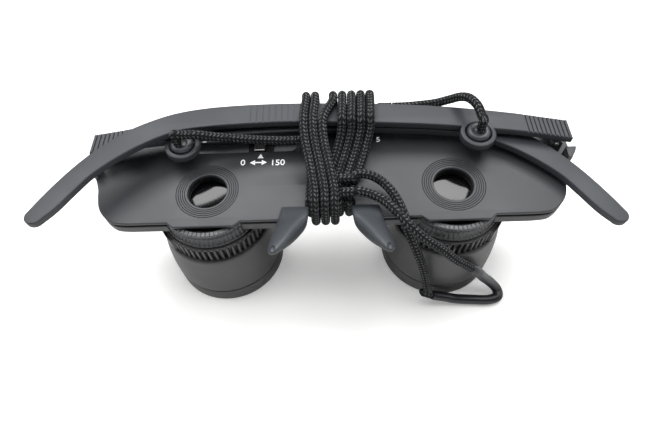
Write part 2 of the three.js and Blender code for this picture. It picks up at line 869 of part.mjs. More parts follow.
function nosePad() {
  const sides12 = 12;
  const positions = [];
  const index = [];
  const lift = padTipZ - padSeat;
  const mix = THREE.MathUtils.lerp;
  for (const [yShare, innerShare, outerShare, bottomShare, topShare] of padSections) {
    const y = -yShare * padReach;
    const inner = mix(padBaseInner, padTipInner, innerShare);
    const outer = mix(padBaseOuter, padTipOuter, outerShare);
    const bottom = padSeat + bottomShare * lift;
    const top = padSeat + topShare * lift;
    for (let i = 0; i < sides12; i += 1) {
      const angle = (i / sides12) * 2 * Math.PI;
      const round = (value) => Math.sign(value) * Math.abs(value) ** 0.7;
      positions.push(
        (inner + outer) / 2 + (round(Math.cos(angle)) * (outer - inner)) / 2,
        y,
        (bottom + top) / 2 + (round(Math.sin(angle)) * (top - bottom)) / 2);
    }
  }
  const last = padSections.length - 1;
  for (let s = 0; s < last; s += 1) {
    for (let i = 0; i < sides12; i += 1) {
      const next = (i + 1) % sides12;
      const a = s * sides12 + i;
      const b = s * sides12 + next;
      index.push(a, b, a + sides12, b, b + sides12, a + sides12);
    }
  }
  const centre = (section) => {
    let sum = [0, 0, 0];
    for (let i = 0; i < sides12; i += 1) {
      sum = sum.map((value, axis) => value + positions[(section * sides12 + i) * 3 + axis] / sides12);
    }
    return sum;
  };
  const first = centre(0);
  const tip = centre(last);
  positions.push(...first, tip[0], -padReach, tip[2]);
  const baseCentre = (last + 1) * sides12;
  for (let i = 0; i < sides12; i += 1) {
    const next = (i + 1) % sides12;
    index.push(baseCentre, next, i);
    index.push(baseCentre + 1, last * sides12 + i, last * sides12 + next);
  }
  const geometry = new THREE.BufferGeometry();
  geometry.setAttribute('position', new THREE.Float32BufferAttribute(positions, 3));
  geometry.setIndex(index);
  return facingOut(geometry);
}

for (const [hand, side] of sides) {
  piece(`nose_pad_${hand}`, side > 0 ? nosePad() : mirrored(nosePad()), 'rubber');
}

// Cord. Its routes are points chosen by hand along the cord of the photograph.

const cordDiameter = 1.9;
const sleeveDiameter = 2.9;

function spread(points, startWay, endWay, diameter) {
  // Adds a straight stretch, one diameter long, at each end of a route
  const first = new THREE.Vector3(...points[0]);
  const last = new THREE.Vector3(...points[points.length - 1]);
  const inner = points.slice(1, -1).map((point) => new THREE.Vector3(...point));
  const start = [0, 1, 1.4].map((share) => (
    first.clone().addScaledVector(new THREE.Vector3(...startWay).normalize(), share * diameter)));
  const end = [1.4, 1, 0].map((share) => (
    last.clone().addScaledVector(new THREE.Vector3(...endWay).normalize(), -share * diameter)));
  const curve = new THREE.CatmullRomCurve3([...start, ...inner, ...end], false, 'centripetal');
  curve.arcLengthDivisions = 20 * curve.points.length;
  return curve;
}

function byStations(curve) {
  // The same curve, stepped evenly from point to point of its route, so that the bends,
  // where its points stand close, get the most rings
  const path = curve.clone();
  path.getUtoTmapping = (share) => share;
  return path;
}

function cordTube(curve, diameter, sideCount, steps) {
  const section = new THREE.Shape();
  section.absarc(0, 0, diameter / 2, 0, 2 * Math.PI);
  const outline = new THREE.Shape(section.getSpacedPoints(sideCount).slice(0, sideCount));
  return new THREE.ExtrudeGeometry(outline, { steps, bevelEnabled: false, extrudePath: curve });
}

function leastGap(curve, diameter) {
  // Least free distance between two stretches of the same tube, measured on points
  const points = curve.getSpacedPoints(Math.ceil((curve.getLength() / diameter) * 8));
  const apart = 3 * diameter;
  const pace = curve.getLength() / (points.length - 1);
  const skip = Math.ceil(apart / pace);
  let least = Infinity;
  for (let i = 0; i < points.length; i += 1) {
    for (let j = i + skip; j < points.length; j += 1) {
      const distance = points[i].distanceTo(points[j]);
      if (distance < least) least = distance;
    }
  }
  return least - diameter;
}

// Winding: the cord goes round the bridge and both folded temples. One strand of
// it goes over the temples' top at each place of windTops, the first three lie in
// an outer layer on the front and the rest in an inner one.
const windTops = [-5.7, -3.3, 1.5, 3.95, 6.4, 8.85, 11.3];
const windEdges = [-6.3, -3.9, -1.3, 3.6, 6.05, 8.5, 10.95];
const windMiddles = [-6.0, -3.6, -1.2, 2.5, 4.95, 7.4, 9.85];
const windLows = [-4.8, -2.4, 0, 0.3, 2.8, 5.3, 7.8];
const windFronts = [-3.85, -1.35, 1.15, -2.6, -0.1, 2.4, 4.9];
const windUnders = [-4.2, -1.2, 2.2, 5, 7.8, 10.6, 13.4];
const outerLayer = 3;
const startFront = -5.05;
const startUnder = -7;

function windingFront(k) {
  // Down the front from the temple's edge to the underside of the housing
  const x = windFronts[k];
  if (k < outerLayer) {
    return [
      [windEdges[k], 15, 43.1], [windMiddles[k], 9.6, 41.4], [windLows[k], 3.4, 39.3],
      [x, notchY + 0.1, 37.3], [x, notchY - 2, 36.5], [x, notchY - 3.5, 34.8],
      [x, notchY - 3.8, 30.8], [x, notchY - 3, 27.9], [x, notchY - 1, 25.9],
      [windUnders[k], 4, 25.4], [windUnders[k], 13, 25.7],
    ];
  }
  return [
    [windEdges[k], 15, 43], [windEdges[k], 13.7, 41.3], [windMiddles[k], 10.2, 37.9],
    [windLows[k], 4.4, 35.5], [x, notchY + 0.5, 34.9], [x, notchY - 0.8, 34.5],
    [x, notchY - 1.35, 33.4], [x, notchY - 1.35, 30], [x, notchY - 0.9, 28.6],
    [x * 1.06 + 0.25, notchY + 0.6, 28.1], [windUnders[k], 14.5, 28.1],
  ];
}

function windingBack(under, top) {
  // Up behind the plate and the temples to the place of the next strand on top
  return [
    [under, 19.7, 28.6], [under, 21.2, 31.4], [(under + top) / 2, 23.4, 34.5],
    [top, 24.4, 38], [top, 24.3, 41.2], [top, 23.6, 42.8], [top, 21.8, 43.1],
  ];
}

function windingRoute() {
  const points = [
    [-8.2, 12.4, 38.2], [-5.2, 10.4, 37.2], [-4.9, 7.5, 36], [-4.9, 3, 35.4],
    [startFront, notchY + 0.5, 34.9], [startFront, notchY - 0.8, 34.5],
    [startFront, notchY - 1.35, 33.4], [startFront, notchY - 1.35, 30],
    [startFront, notchY - 0.9, 28.6], [startFront, notchY + 0.5, 28.1],
    [startUnder, 14.5, 28.1],
    ...windingBack(startUnder, windTops[0]),
  ];
  windTops.forEach((top, k) => {
    points.push(...windingFront(k));
    if (k < windTops.length - 1) points.push(...windingBack(windUnders[k], windTops[k + 1]));
  });
  const last = windUnders[windUnders.length - 1];
  points.push([last, 19.7, 28.6], [last, 21.2, 31.4], [last + 0.6, 23.2, 35], [17.5, 23.5, 38]);
  return points;
}

const cordRoutes = [
  {
    name: 'cord_winding',
    points: windingRoute(),
    startWay: [1, 0, 0],
    endWay: [1, 0, 0],
    diameter: cordDiameter,
    sideCount: 6,
    steps: 24 * (windTops.length + 1),
  },
  {
    name: 'cord_lead_left',
    points: [
      [-39.2, 10.4, 40.8], [-37.3, 10.8, 43.5], [-34.2, 11.3, 42.9], [-30, 11.8, 41.4], [-24.5, 12.2, 40],
      [-18.2, 12.4, 38.8], [-13, 12.4, 38.3], [-8.5, 12.4, 38.2],
    ],
    startWay: [0, 0, 1],
    endWay: [1, 0, 0],
    diameter: cordDiameter,
    sideCount: 8,
  },
  {
    name: 'cord_lead_right',
    points: [
      [39, 11.1, 41.9], [38.8, 12.3, 45], [38, 15.2, 45.8], [36.6, 18.6, 45.2], [35, 21, 43.4],
      [33, 22.6, 41], [29.5, 23.4, 39], [24, 23.5, 38.2], [17.8, 23.5, 38],
    ],
    startWay: [0, 0, 1],
    endWay: [-1, 0, 0],
    diameter: cordDiameter,
    sideCount: 8,
  },
  {
    name: 'cord_strand_upper',
    points: [
      [2.6, -0.4, 38.1], [6.8, 0.4, 38.5], [10, 0.3, 38.2], [13, -1, 37.2], [15.9, -4.3, 36.2],
      [17.8, -8.6, 35.1], [18.5, -10.9, 33.7], [19.2, -12, 31.3], [21.2, -14.6, 27.2],
      [24.1, -16.9, 19.3], [26, -18.3, 11.5], [26.7, -18.9, 7.6], [28.2, -18.9, 5.4],
    ],
    startWay: [1, 0, 0],
    endWay: [0.8, 0, -0.6],
    diameter: cordDiameter,
    sideCount: 8,
  },
  {
    name: 'cord_strand_lower',
    points: [
      [3.2, -4.2, 37.6], [6.6, -4.2, 37.9], [10, -4.8, 37.3], [13.5, -6.9, 36.9], [16.3, -10.2, 36.8],
      [19, -13.4, 36], [22.1, -15.4, 33.8], [27.4, -16.6, 29.3], [31.4, -17.2, 24.8], [36.9, -17, 18.8],
    ],
    startWay: [1, 0, 0],
    endWay: [0.64, 0.05, -0.77],
    diameter: cordDiameter,
    sideCount: 8,
  },
  {
    name: 'cord_sleeve',
    points: [
      [37.1, -17, 18.5], [42.4, -16, 10.5], [46.2, -15.6, 5], [48.4, -16.6, 2.2], [48.4, -18.3, 1.7],
      [46, -19.3, 1.7], [41, -19.2, 1.7], [35.5, -19, 2.3], [28.5, -18.9, 5.2],
    ],
    startWay: [0.64, 0.05, -0.77],
    endWay: [-0.93, 0, 0.37],
    diameter: sleeveDiameter,
    sideCount: 8,
  },
];

for (const route of cordRoutes) {
  const curve = spread(route.points, route.startWay, route.endWay, route.diameter);
  const steps = route.steps ?? Math.ceil(curve.getLength() / (2 * route.diameter));
  const path = route.steps ? byStations(curve) : curve;
  const finish = route.name === 'cord_sleeve' ? 'sleeve' : 'cord';
  piece(route.name, cordTube(path, route.diameter, route.sideCount, steps), finish);
  const gap = leastGap(curve, route.diameter);
  console.log(route.name, 'length', curve.getLength(), 'least gap to itself', gap);
}

// The origin lies under the middle of the rigid pieces, on the surface they stand on
glasses.updateMatrixWorld(true);
const bounds = new THREE.Box3();
glasses.traverse((mesh) => {
  if (mesh.isMesh && !mesh.name.startsWith('cord_')) bounds.expandByObject(mesh, true);
});
const middle = bounds.getCenter(new THREE.Vector3());
glasses.position.set(-middle.x, -middle.y, -bounds.min.z);
console.log('rigid bounds', bounds.min.toArray(), bounds.max.toArray());

export default glasses;
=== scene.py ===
# Binocular glasses, dressed: two small telescopes under a spectacle plate, with
# folded temples, soft nose pads and a braided neck cord wound round the bridge.
# Pieces are modelled in millimetres about the middle between the eyepieces, with
# z = 0 on the table, and set to metres in the frame when each is finished.
import math

import bpy
from mathutils import Matrix, Vector


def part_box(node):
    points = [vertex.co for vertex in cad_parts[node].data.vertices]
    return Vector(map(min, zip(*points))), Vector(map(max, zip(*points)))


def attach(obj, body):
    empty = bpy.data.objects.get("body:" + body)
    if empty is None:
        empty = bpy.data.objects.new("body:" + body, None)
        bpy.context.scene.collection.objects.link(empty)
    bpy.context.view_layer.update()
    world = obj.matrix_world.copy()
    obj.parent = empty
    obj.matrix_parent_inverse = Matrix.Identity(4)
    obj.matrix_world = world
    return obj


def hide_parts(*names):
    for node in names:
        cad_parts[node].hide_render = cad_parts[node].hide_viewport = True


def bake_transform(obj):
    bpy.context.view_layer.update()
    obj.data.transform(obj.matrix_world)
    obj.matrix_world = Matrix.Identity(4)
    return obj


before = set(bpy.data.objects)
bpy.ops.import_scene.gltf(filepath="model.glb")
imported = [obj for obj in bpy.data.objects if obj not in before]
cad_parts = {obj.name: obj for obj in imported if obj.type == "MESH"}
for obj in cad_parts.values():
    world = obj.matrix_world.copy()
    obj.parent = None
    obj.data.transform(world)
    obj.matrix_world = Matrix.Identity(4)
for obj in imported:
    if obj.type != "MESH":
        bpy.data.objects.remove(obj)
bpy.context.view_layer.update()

MM = 0.001


def middle_of(node):
    low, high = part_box(node)
    return (Vector(low) + Vector(high)) / 2


# Where the middle between the telescopes lies in the frame, and half their distance
left_axis = middle_of("objective_bezel_left")
right_axis = middle_of("objective_bezel_right")
SHIFT = Vector(((left_axis.x + right_axis.x) / 2, (left_axis.y + right_axis.y) / 2, 0))
AXIS_X = (right_axis.x - left_axis.x) / 2 / MM

# Sizes of the plate and the telescopes, in millimetres
PLATE_TOP = 33.7
COVER_THICK = 1.0
HOUSING_TOP = 32.5
HOUSING_BOTTOM = 29.4
HALF_WIDE = 64.6
PLATE_FRONT = 9.4
PLATE_BACK = 18.6
TAB_REACH = 1.4
ARCH_HALF_WIDE = 12.5
ARCH_RISE = 2.9
NOTCH_HALF_WIDE = 6.2
NOTCH_Y = -3.6
NOTCH_CORNER = 0.8
SCOOP_HALF_WIDE = 5.9
SCOOP_DEEP = 2.4
SCOOP_LONG = 11.5
HINGE_X = 59.8
HINGE_Z = 36.3
FOLD_TILT = 1.5
SIDES = (("left", -1), ("right", 1))


# Camera, matched to the photograph

def add_camera():
    bpy.ops.object.camera_add()
    camera = bpy.context.object
    camera.location = SHIFT + Vector((0.93, -71.89, 135.76)) * MM
    camera.rotation_euler = [math.radians(a) for a in (31.0226, 1.7627, -0.8562)]
    camera.data.sensor_width = 36
    camera.data.lens = 26.3415
    camera.data.shift_x = 0.00381
    camera.data.clip_start = 0.01
    bpy.context.scene.camera = camera


add_camera()


# Modelling tools

def alone(piece):
    bpy.ops.object.select_all(action="DESELECT")
    piece.select_set(True)
    bpy.context.view_layer.objects.active = piece
    return piece


def named(name):
    piece = bpy.context.object
    piece.name = name
    piece.data.name = name
    return piece


def in_edit(piece, *steps):
    # Runs operators in edit mode, each given as an operator and its settings
    alone(piece)
    bpy.ops.object.mode_set(mode="EDIT")
    bpy.ops.mesh.select_all(action="SELECT")
    for operator, settings in steps:
        operator(**settings)
    bpy.ops.object.mode_set(mode="OBJECT")
    return piece


def clean(piece, distance=1e-4):
    return in_edit(
        piece,
        (bpy.ops.mesh.remove_doubles, {"threshold": distance}),
        (bpy.ops.mesh.normals_make_consistent, {"inside": False}),
    )


def modify(piece, kind, **settings):
    alone(piece)
    modifier = piece.modifiers.new(kind.title(), kind)
    for key, value in settings.items():
        setattr(modifier, key, value)
    bpy.ops.object.modifier_apply(modifier=modifier.name)
    return piece


def remove(piece):
    bpy.data.objects.remove(piece, do_unlink=True)


def carve(piece, *cutters, operation="DIFFERENCE"):
    for cutter in cutters:
        modify(piece, "BOOLEAN", operation=operation, object=cutter, solver="EXACT")
        remove(cutter)
    return piece


def move(piece, x=0, y=0, z=0):
    piece.data.transform(Matrix.Translation((x, y, z)))
    return piece


def turn(piece, degrees, axis):
    piece.data.transform(Matrix.Rotation(math.radians(degrees), 4, axis))
    return piece


def mirror_x(piece):
    piece.data.transform(Matrix.Scale(-1, 4, (1, 0, 0)))
    return in_edit(piece, (bpy.ops.mesh.flip_normals, {}))


def join(pieces, name):
    alone(pieces[0])
    for other in pieces[1:]:
        other.select_set(True)
    bpy.ops.object.join()
    return named(name)


def flat_outline(name, points, bottom, top, edge=0.0, edge_steps=3, inset=0.0):
    # A closed flat curve made thick, drawn in by the inset, with its edges rounded
    # inside its size
    bpy.ops.curve.primitive_bezier_circle_add()
    piece = named(name)
    curve = piece.data
    curve.dimensions = "2D"
    curve.fill_mode = "BOTH"
    curve.splines.clear()
    spline = curve.splines.new("POLY")
    spline.points.add(len(points) - 1)
    spline.points.foreach_set("co", [v for x, y in points for v in (x, y, 0, 1)])
    spline.use_cyclic_u = True
    curve.extrude = (top - bottom) / 2 - edge
    curve.bevel_depth = edge
    curve.bevel_resolution = edge_steps
    curve.offset = -edge - inset
    alone(piece)
    bpy.ops.object.convert(target="MESH")
    piece = named(name)
    move(piece, z=(top + bottom) / 2)
    return clean(piece)


def revolved(name, profile, steps=128):
    # A profile of (radius, height) points spun about the z axis
    bpy.ops.mesh.primitive_plane_add()
    piece = named(name)
    mesh = piece.data
    mesh.clear_geometry()
    edges = [(i, i + 1) for i in range(len(profile) - 1)]
    mesh.from_pydata([(r, 0, z) for r, z in profile], edges, [])
    spin = {"steps": steps, "angle": 2 * math.pi, "dupli": False,
            "center": (0, 0, 0), "axis": (0, 0, 1)}
    in_edit(piece, (bpy.ops.mesh.spin, spin))
    return clean(piece)


def box_piece(name, x0, x1, y0, y1, z0, z1):
    bpy.ops.mesh.primitive_cube_add(size=1)
    piece = named(name)
    piece.data.transform(Matrix.Diagonal((x1 - x0, y1 - y0, z1 - z0, 1)))
    return move(piece, (x0 + x1) / 2, (y0 + y1) / 2, (z0 + z1) / 2)


def rod(name, radius, length, axis="Z", steps=48):
    bpy.ops.mesh.primitive_cylinder_add(vertices=steps, radius=radius, depth=length)
    piece = named(name)
    return turn(piece, 90, "X") if axis == "Y" else piece


def finish(piece, material, body, slot, *nodes, angle=32):
    # Sets a piece to metres in the frame, gives it its finish and body, and hides the solids it
    # replaces
    if angle:
        alone(piece)
        bpy.ops.object.shade_smooth_by_angle(angle=math.radians(angle))
    piece.data.transform(Matrix.Translation(SHIFT) @ Matrix.Scale(MM, 4))
    piece.data.materials.clear()
    piece.data.materials.append(material)
    if body:
        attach(piece, body)
    if nodes:
        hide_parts(*nodes)
    return piece


def arc(cx, cy, radius, start, end, steps):
    angles = [math.radians(start + (end - start) * i / steps) for i in range(steps + 1)]
    return [(cx + radius * math.cos(a), cy + radius * math.sin(a)) for a in angles]


def smooth_line(points, steps):
    # A curve through the points, even in spacing from point to point
    count = len(points)
    line = []
    for i in range(count - 1):
        p0 = points[max(i - 1, 0)]
        p1 = points[i]
        p2 = points[i + 1]
        p3 = points[min(i + 2, count - 1)]
        for j in range(steps):
            t = j / steps
            line.append(tuple(
                0.5 * ((2 * b) + (c - a) * t + (2 * a - 5 * b + 4 * c - d) * t * t
                       + (3 * b - a - 3 * c + d) * t ** 3)
                for a, b, c, d in zip(p0, p1, p2, p3)))
    line.append(tuple(points[-1]))
    return line


# Shader maths

class Value:
    # One output of a shader node, which takes part in sums

    def __init__(self, nodes, socket):
        self.nodes = nodes
        self.socket = socket

    def sum(self, operation, *others):
        return self.nodes.add("ShaderNodeMath", {"operation": operation}, self, *others)

    def __add__(self, other):
        return self.sum("ADD", other)

    __radd__ = __add__

    def __mul__(self, other):
        return self.sum("MULTIPLY", other)

    __rmul__ = __mul__

    def __sub__(self, other):
        return self.sum("SUBTRACT", other)

    def __rsub__(self, other):
        return self.nodes.add("ShaderNodeMath", {"operation": "SUBTRACT"}, other, self)

    def __truediv__(self, other):
        return self.sum("DIVIDE", other)

    def __mod__(self, other):
        return self.sum("FLOORED_MODULO", other)

    def sin(self):
        return self.sum("SINE")

    def abs(self):
        return self.sum("ABSOLUTE")

    def between(self, low, high):
        settings = {"interpolation_type": "SMOOTHSTEP", "clamp": True}
        return self.nodes.add("ShaderNodeMapRange", settings, self, low, high, 0.0, 1.0)


class Nodes:
    # A node tree that is built by calls

    def __init__(self, tree):
        self.tree = tree

    def feed(self, socket, value):
        if isinstance(value, Value):
            self.tree.links.new(value.socket, socket)
        else:
            socket.default_value = value

    def add(self, kind, settings, *inputs, out=0, **named_inputs):
        node = self.tree.nodes.new(kind)
        for key, value in settings.items():
            setattr(node, key, value)
        for socket, value in zip(node.inputs, inputs):
            self.feed(socket, value)
        for key, value in named_inputs.items():
            self.feed(node.inputs[key.replace("_", " ")], value)
        return Value(self, node.outputs[out])

    def camera_ray(self):
        return self.add("ShaderNodeLightPath", {}, out="Is Camera Ray")

    def place(self):
        return self.add("ShaderNodeTexCoord", {}, out="Object")

    def axes(self, vector):
        node = self.tree.nodes.new("ShaderNodeSeparateXYZ")
        self.feed(node.inputs[0], vector)
        return [Value(self, output) for output in node.outputs]

    def noise(self, scale, detail, roughness=0.55):
        return self.add(
            "ShaderNodeTexNoise", {}, Vector=self.place(), Scale=scale, Detail=detail,
            Roughness=roughness)

    def mix(self, share, first, second):
        node = self.tree.nodes.new("ShaderNodeMix")
        node.data_type = "RGBA"
        self.feed(node.inputs["Factor"], share)
        colours = [socket for socket in node.inputs if socket.type == "RGBA"]
        for socket, value in zip(colours, (first, second)):
            self.feed(socket, value if isinstance(value, Value) else (*value, 1))
        return Value(self, [socket for socket in node.outputs if socket.type == "RGBA"][0])

    def bump(self, height, strength, distance):
        return self.add(
            "ShaderNodeBump", {}, Strength=strength, Distance=distance, Height=height)


class Paint(Nodes):
    # One finish: a material and what feeds its shader

    def __init__(self, name, colour, roughness, **sockets):
        self.material = bpy.data.materials.new(name)
        self.material.use_nodes = True
        self.material.diffuse_color = (*colour, 1)
        super().__init__(self.material.node_tree)
        self.shader = self.tree.nodes["Principled BSDF"]
        self.set(Base_Color=(*colour, 1), Roughness=roughness, **sockets)

    def set(self, **sockets):
        for key, value in sockets.items():
            self.feed(self.shader.inputs[key.replace("_", " ")], value)


# Cord. Its route repeats the points of the solid model's cord.

CORD_WIDE = 2.4
SLEEVE_WIDE = 2.9
LIFT = 0.15  # how much higher than the solid the winding runs over the temples

# The winding's turns from left to right: where each lies on top of the temples, at the
# temple's edge, half way down, on the plate, at the notch and under the housing.
# The first three lie over the others.
WIND_TOPS = [-5.7, -3.3, 1.5, 3.95, 6.4, 8.85, 11.3]
WIND_EDGES = [-6.3, -3.9, -1.3, 3.6, 6.05, 8.5, 10.95]
WIND_MIDDLES = [-6.0, -3.6, -1.2, 2.5, 4.95, 7.4, 9.85]
WIND_LOWS = [-4.8, -2.4, 0, 0.3, 2.8, 5.3, 7.8]
WIND_FRONTS = [-3.85, -1.35, 1.15, -2.6, -0.1, 2.4, 4.9]
WIND_UNDERS = [-4.2, -1.2, 2.2, 5, 7.8, 10.6, 13.4]
OUTER_LAYER = 3
START_FRONT = -5.05
START_UNDER = -7


def winding_front(k):
    # Down the front from the temple's edge to the underside of the housing
    x = WIND_FRONTS[k]
    if k < OUTER_LAYER:
        return [
            (WIND_EDGES[k], 15, 43.1 + LIFT), (WIND_MIDDLES[k], 9.6, 41.4),
            (WIND_LOWS[k], 3.4, 39.3), (x, NOTCH_Y + 0.1, 37.3), (x, NOTCH_Y - 2, 36.5),
            (x, NOTCH_Y - 3.5, 34.8), (x, NOTCH_Y - 3.8, 30.8), (x, NOTCH_Y - 3, 27.9),
            (x, NOTCH_Y - 1, 25.9), (WIND_UNDERS[k], 4, 25.4), (WIND_UNDERS[k], 13, 25.7),
        ]
    return [
        (WIND_EDGES[k], 15, 43 + LIFT), (WIND_EDGES[k], 13.7, 41.3),
        (WIND_MIDDLES[k], 10.2, 37.9), (WIND_LOWS[k], 4.4, 35.5), (x, NOTCH_Y + 0.5, 34.9),
        (x, NOTCH_Y - 0.8, 34.5), (x, NOTCH_Y - 1.35, 33.4), (x, NOTCH_Y - 1.35, 30),
        (x, NOTCH_Y - 0.9, 28.6), (x * 1.06 + 0.25, NOTCH_Y + 0.6, 28.1),
        (WIND_UNDERS[k], 14.5, 28.1),
    ]


def winding_back(under, top):
    # Up behind the plate and the temples to the place of the next turn on top
    return [
        (under, 19.7, 28.6), (under, 21.2, 31.4), ((under + top) / 2, 23.4, 34.5),
        (top, 24.4, 38), (top, 24.3, 41.2), (top, 23.6, 42.8 + LIFT), (top, 21.8, 43.1 + LIFT),
    ]


def winding_route():
    points = [
        (-8.2, 12.4, 38.2), (-5.2, 10.4, 37.2), (-4.9, 7.5, 36), (-4.9, 3, 35.4),
        (START_FRONT, NOTCH_Y + 0.5, 34.9), (START_FRONT, NOTCH_Y - 0.8, 34.5),
        (START_FRONT, NOTCH_Y - 1.35, 33.4), (START_FRONT, NOTCH_Y - 1.35, 30),
        (START_FRONT, NOTCH_Y - 0.9, 28.6), (START_FRONT, NOTCH_Y + 0.5, 28.1),
        (START_UNDER, 14.5, 28.1),
        *winding_back(START_UNDER, WIND_TOPS[0]),
    ]
    for k in range(len(WIND_TOPS)):
        points += winding_front(k)
        if k < len(WIND_TOPS) - 1:
            points += winding_back(WIND_UNDERS[k], WIND_TOPS[k + 1])
    last = WIND_UNDERS[-1]
    points += [(last, 19.7, 28.6), (last, 21.2, 31.4), (last + 0.6, 23.2, 35)]
    return points + [(17.5, 23.5, 38)]


# The points of each piece of cord, and the way it runs at its start and its end
CORD_ROUTES = {
    "cord_winding": (winding_route(), (1, 0, 0), (1, 0, 0)),
    "cord_lead_left": ([
        (-39.2, 10.4, 40.8), (-37.3, 10.8, 43.5), (-34.2, 11.3, 42.9), (-30, 11.8, 41.4),
        (-24.5, 12.2, 40), (-18.2, 12.4, 38.8), (-13, 12.4, 38.3), (-8.5, 12.4, 38.2),
    ], (0, 0, 1), (1, 0, 0)),
    "cord_lead_right": ([
        (39, 11.1, 41.9), (38.8, 12.3, 45), (38, 15.2, 45.8), (36.6, 18.6, 45.2),
        (35, 21, 43.4), (33, 22.6, 41), (29.5, 23.4, 39), (24, 23.5, 38.2), (17.8, 23.5, 38),
    ], (0, 0, 1), (-1, 0, 0)),
    "cord_strand_upper": ([
        (2.6, -0.4, 38.1), (6.8, 0.4, 38.5), (10, 0.3, 38.2), (13, -1, 37.2),
        (15.9, -4.3, 36.2), (17.8, -8.6, 35.1), (18.5, -10.9, 33.7), (19.2, -12, 31.3),
        (21.2, -14.6, 27.2), (24.1, -16.9, 19.3), (26, -18.3, 11.5), (26.7, -18.9, 7.6),
        (28.2, -18.9, 5.4),
    ], (1, 0, 0), (0.8, 0, -0.6)),
    "cord_strand_lower": ([
        (3.2, -4.2, 37.6), (6.6, -4.2, 37.9), (10, -4.8, 37.3), (13.5, -6.9, 36.9),
        (16.3, -10.2, 36.8), (19, -13.4, 36), (22.1, -15.4, 33.8), (27.4, -16.6, 29.3),
        (31.4, -17.2, 24.8), (36.9, -17, 18.8),
    ], (1, 0, 0), (0.64, 0.05, -0.77)),
    "cord_sleeve": ([
        (37.1, -17, 18.5), (42.4, -16, 10.5), (46.2, -15.6, 5), (48.4, -16.6, 2.2),
        (48.4, -18.3, 1.7), (46, -19.3, 1.7), (41, -19.2, 1.7), (35.5, -19, 2.3),
        (28.5, -18.9, 5.2),
    ], (0.64, 0.05, -0.77), (-0.93, 0, 0.37)),
}


def centripetal(points, steps):
    # A smooth curve through the points that doesn't swing out at a tight bend
    points = [points[0] * 2 - points[1], *points, points[-1] * 2 - points[-2]]
    line = []
    for i in range(1, len(points) - 2):
        p0, p1, p2, p3 = points[i - 1:i + 3]
        spans = ((p0, p1), (p1, p2), (p2, p3))
        d0, d1, d2 = [max((b - a).length ** 0.5, 1e-4) for a, b in spans]
        t1 = ((p1 - p0) / d0 - (p2 - p0) / (d0 + d1) + (p2 - p1) / d1) * d1
        t2 = ((p2 - p1) / d1 - (p3 - p1) / (d1 + d2) + (p3 - p2) / d2) * d1
        for j in range(steps):
            t = j / steps
            line.append(
                p1 * (2 * t ** 3 - 3 * t ** 2 + 1) + t1 * (t ** 3 - 2 * t ** 2 + t)
                + p2 * (3 * t ** 2 - 2 * t ** 3) + t2 * (t ** 3 - t ** 2))
    return line + [points[-2]]


def evenly(line, pace):
    # The same line with points at even distances, and its length
    lengths = [0.0]
    for a, b in zip(line, line[1:]):
        lengths.append(lengths[-1] + (b - a).length)
    count = max(2, round(lengths[-1] / pace))
    result = []
    at = 0
    for i in range(count + 1):
        target = lengths[-1] * i / count
        while at < len(lengths) - 2 and lengths[at + 1] < target:
            at += 1
        share = (target - lengths[at]) / max(lengths[at + 1] - lengths[at], 1e-9)
        result.append(line[at].lerp(line[at + 1], min(share, 1)))
    return result, lengths[-1]


STRAIGHT = (0, 1, 1.4)  # a cord's straight ends, in its widths
ROUTE_STEPS = 24


def cord_line(name, wide, pace):
    points, start_way, end_way = CORD_ROUTES[name]
    first = Vector(points[0])
    last = Vector(points[-1])
    start_way = Vector(start_way).normalized()
    end_way = Vector(end_way).normalized()
    route = [first + start_way * wide * share for share in STRAIGHT]
    route += [Vector(point) for point in points[1:-1]]
    route += [last - end_way * wide * share for share in reversed(STRAIGHT)]
    return evenly(centripetal(route, ROUTE_STEPS), pace)


def cord_mesh(name, wide, sides, pace, swell):
    # A tube round the cord's line, closed at both ends, whose radius is shaped by
    # swell(length so far, share round the tube). Its UV map holds these two as well.
    line, length = cord_line(name, wide, pace)
    bpy.ops.mesh.primitive_circle_add()
    piece = named(name)
    mesh = piece.data
    mesh.clear_geometry()
    way = (line[1] - line[0]).normalized()
    across = way.orthogonal().normalized()
    points = [line[0]]
    places = []
    for i, centre in enumerate(line):
        ahead = (line[min(i + 1, len(line) - 1)] - line[max(i - 1, 0)]).normalized()
        across = (across - ahead * across.dot(ahead)).normalized()
        beside = ahead.cross(across)
        along = length * i / (len(line) - 1)
        places.append(along)
        for j in range(sides):
            share = j / sides
            angle = 2 * math.pi * share
            radius = wide / 2 * swell(along, share)
            spoke = across * math.cos(angle) + beside * math.sin(angle)
            points.append(centre + spoke * radius)
    points.append(line[-1])
    faces = []
    spots = []
    rows = len(line)
    for i in range(rows - 1):
        for j in range(sides):
            k = (j + 1) % sides
            a, b = 1 + i * sides, 1 + (i + 1) * sides
            faces.append((a + j, a + k, b + k, b + j))
            low, high = j / sides, (j + 1) / sides
            here, there = places[i], places[i + 1]
            spots += [(here, low), (here, high), (there, high), (there, low)]
    for j in range(sides):
        k = (j + 1) % sides
        end = 1 + (rows - 1) * sides
        faces.append((0, 1 + k, 1 + j))
        faces.append((len(points) - 1, end + j, end + k))
        spots += [(0, 0)] * 3 + [(length, 0)] * 3
    mesh.from_pydata(points, [], faces)
    layer = mesh.uv_layers.new(name="Cord")
    layer.data.foreach_set("uv", [v for spot in spots for v in spot])
    return piece, line, length


BRAID_CARRIERS = 6
BRAID_PITCH = 1.02
BRAID_RELIEF = 0.035
BRAID_GLINT_ROWS = 4
SLEEVE_FULL = 0.98
SLEEVE_END = 0.74
SLEEVE_TAPER = 2.5
SLEEVE_SPAN = 44  # a little past the sleeve's far end, which is drawn in less


def braid_swell(along, share):
    # Yarns that cross round the cord, as a relief inside its width
    one = math.cos(2 * math.pi * (BRAID_CARRIERS * share + along / BRAID_PITCH))
    other = math.cos(2 * math.pi * (BRAID_CARRIERS * share - along / BRAID_PITCH))
    return 1 - BRAID_RELIEF + BRAID_RELIEF * (one + other) / 2


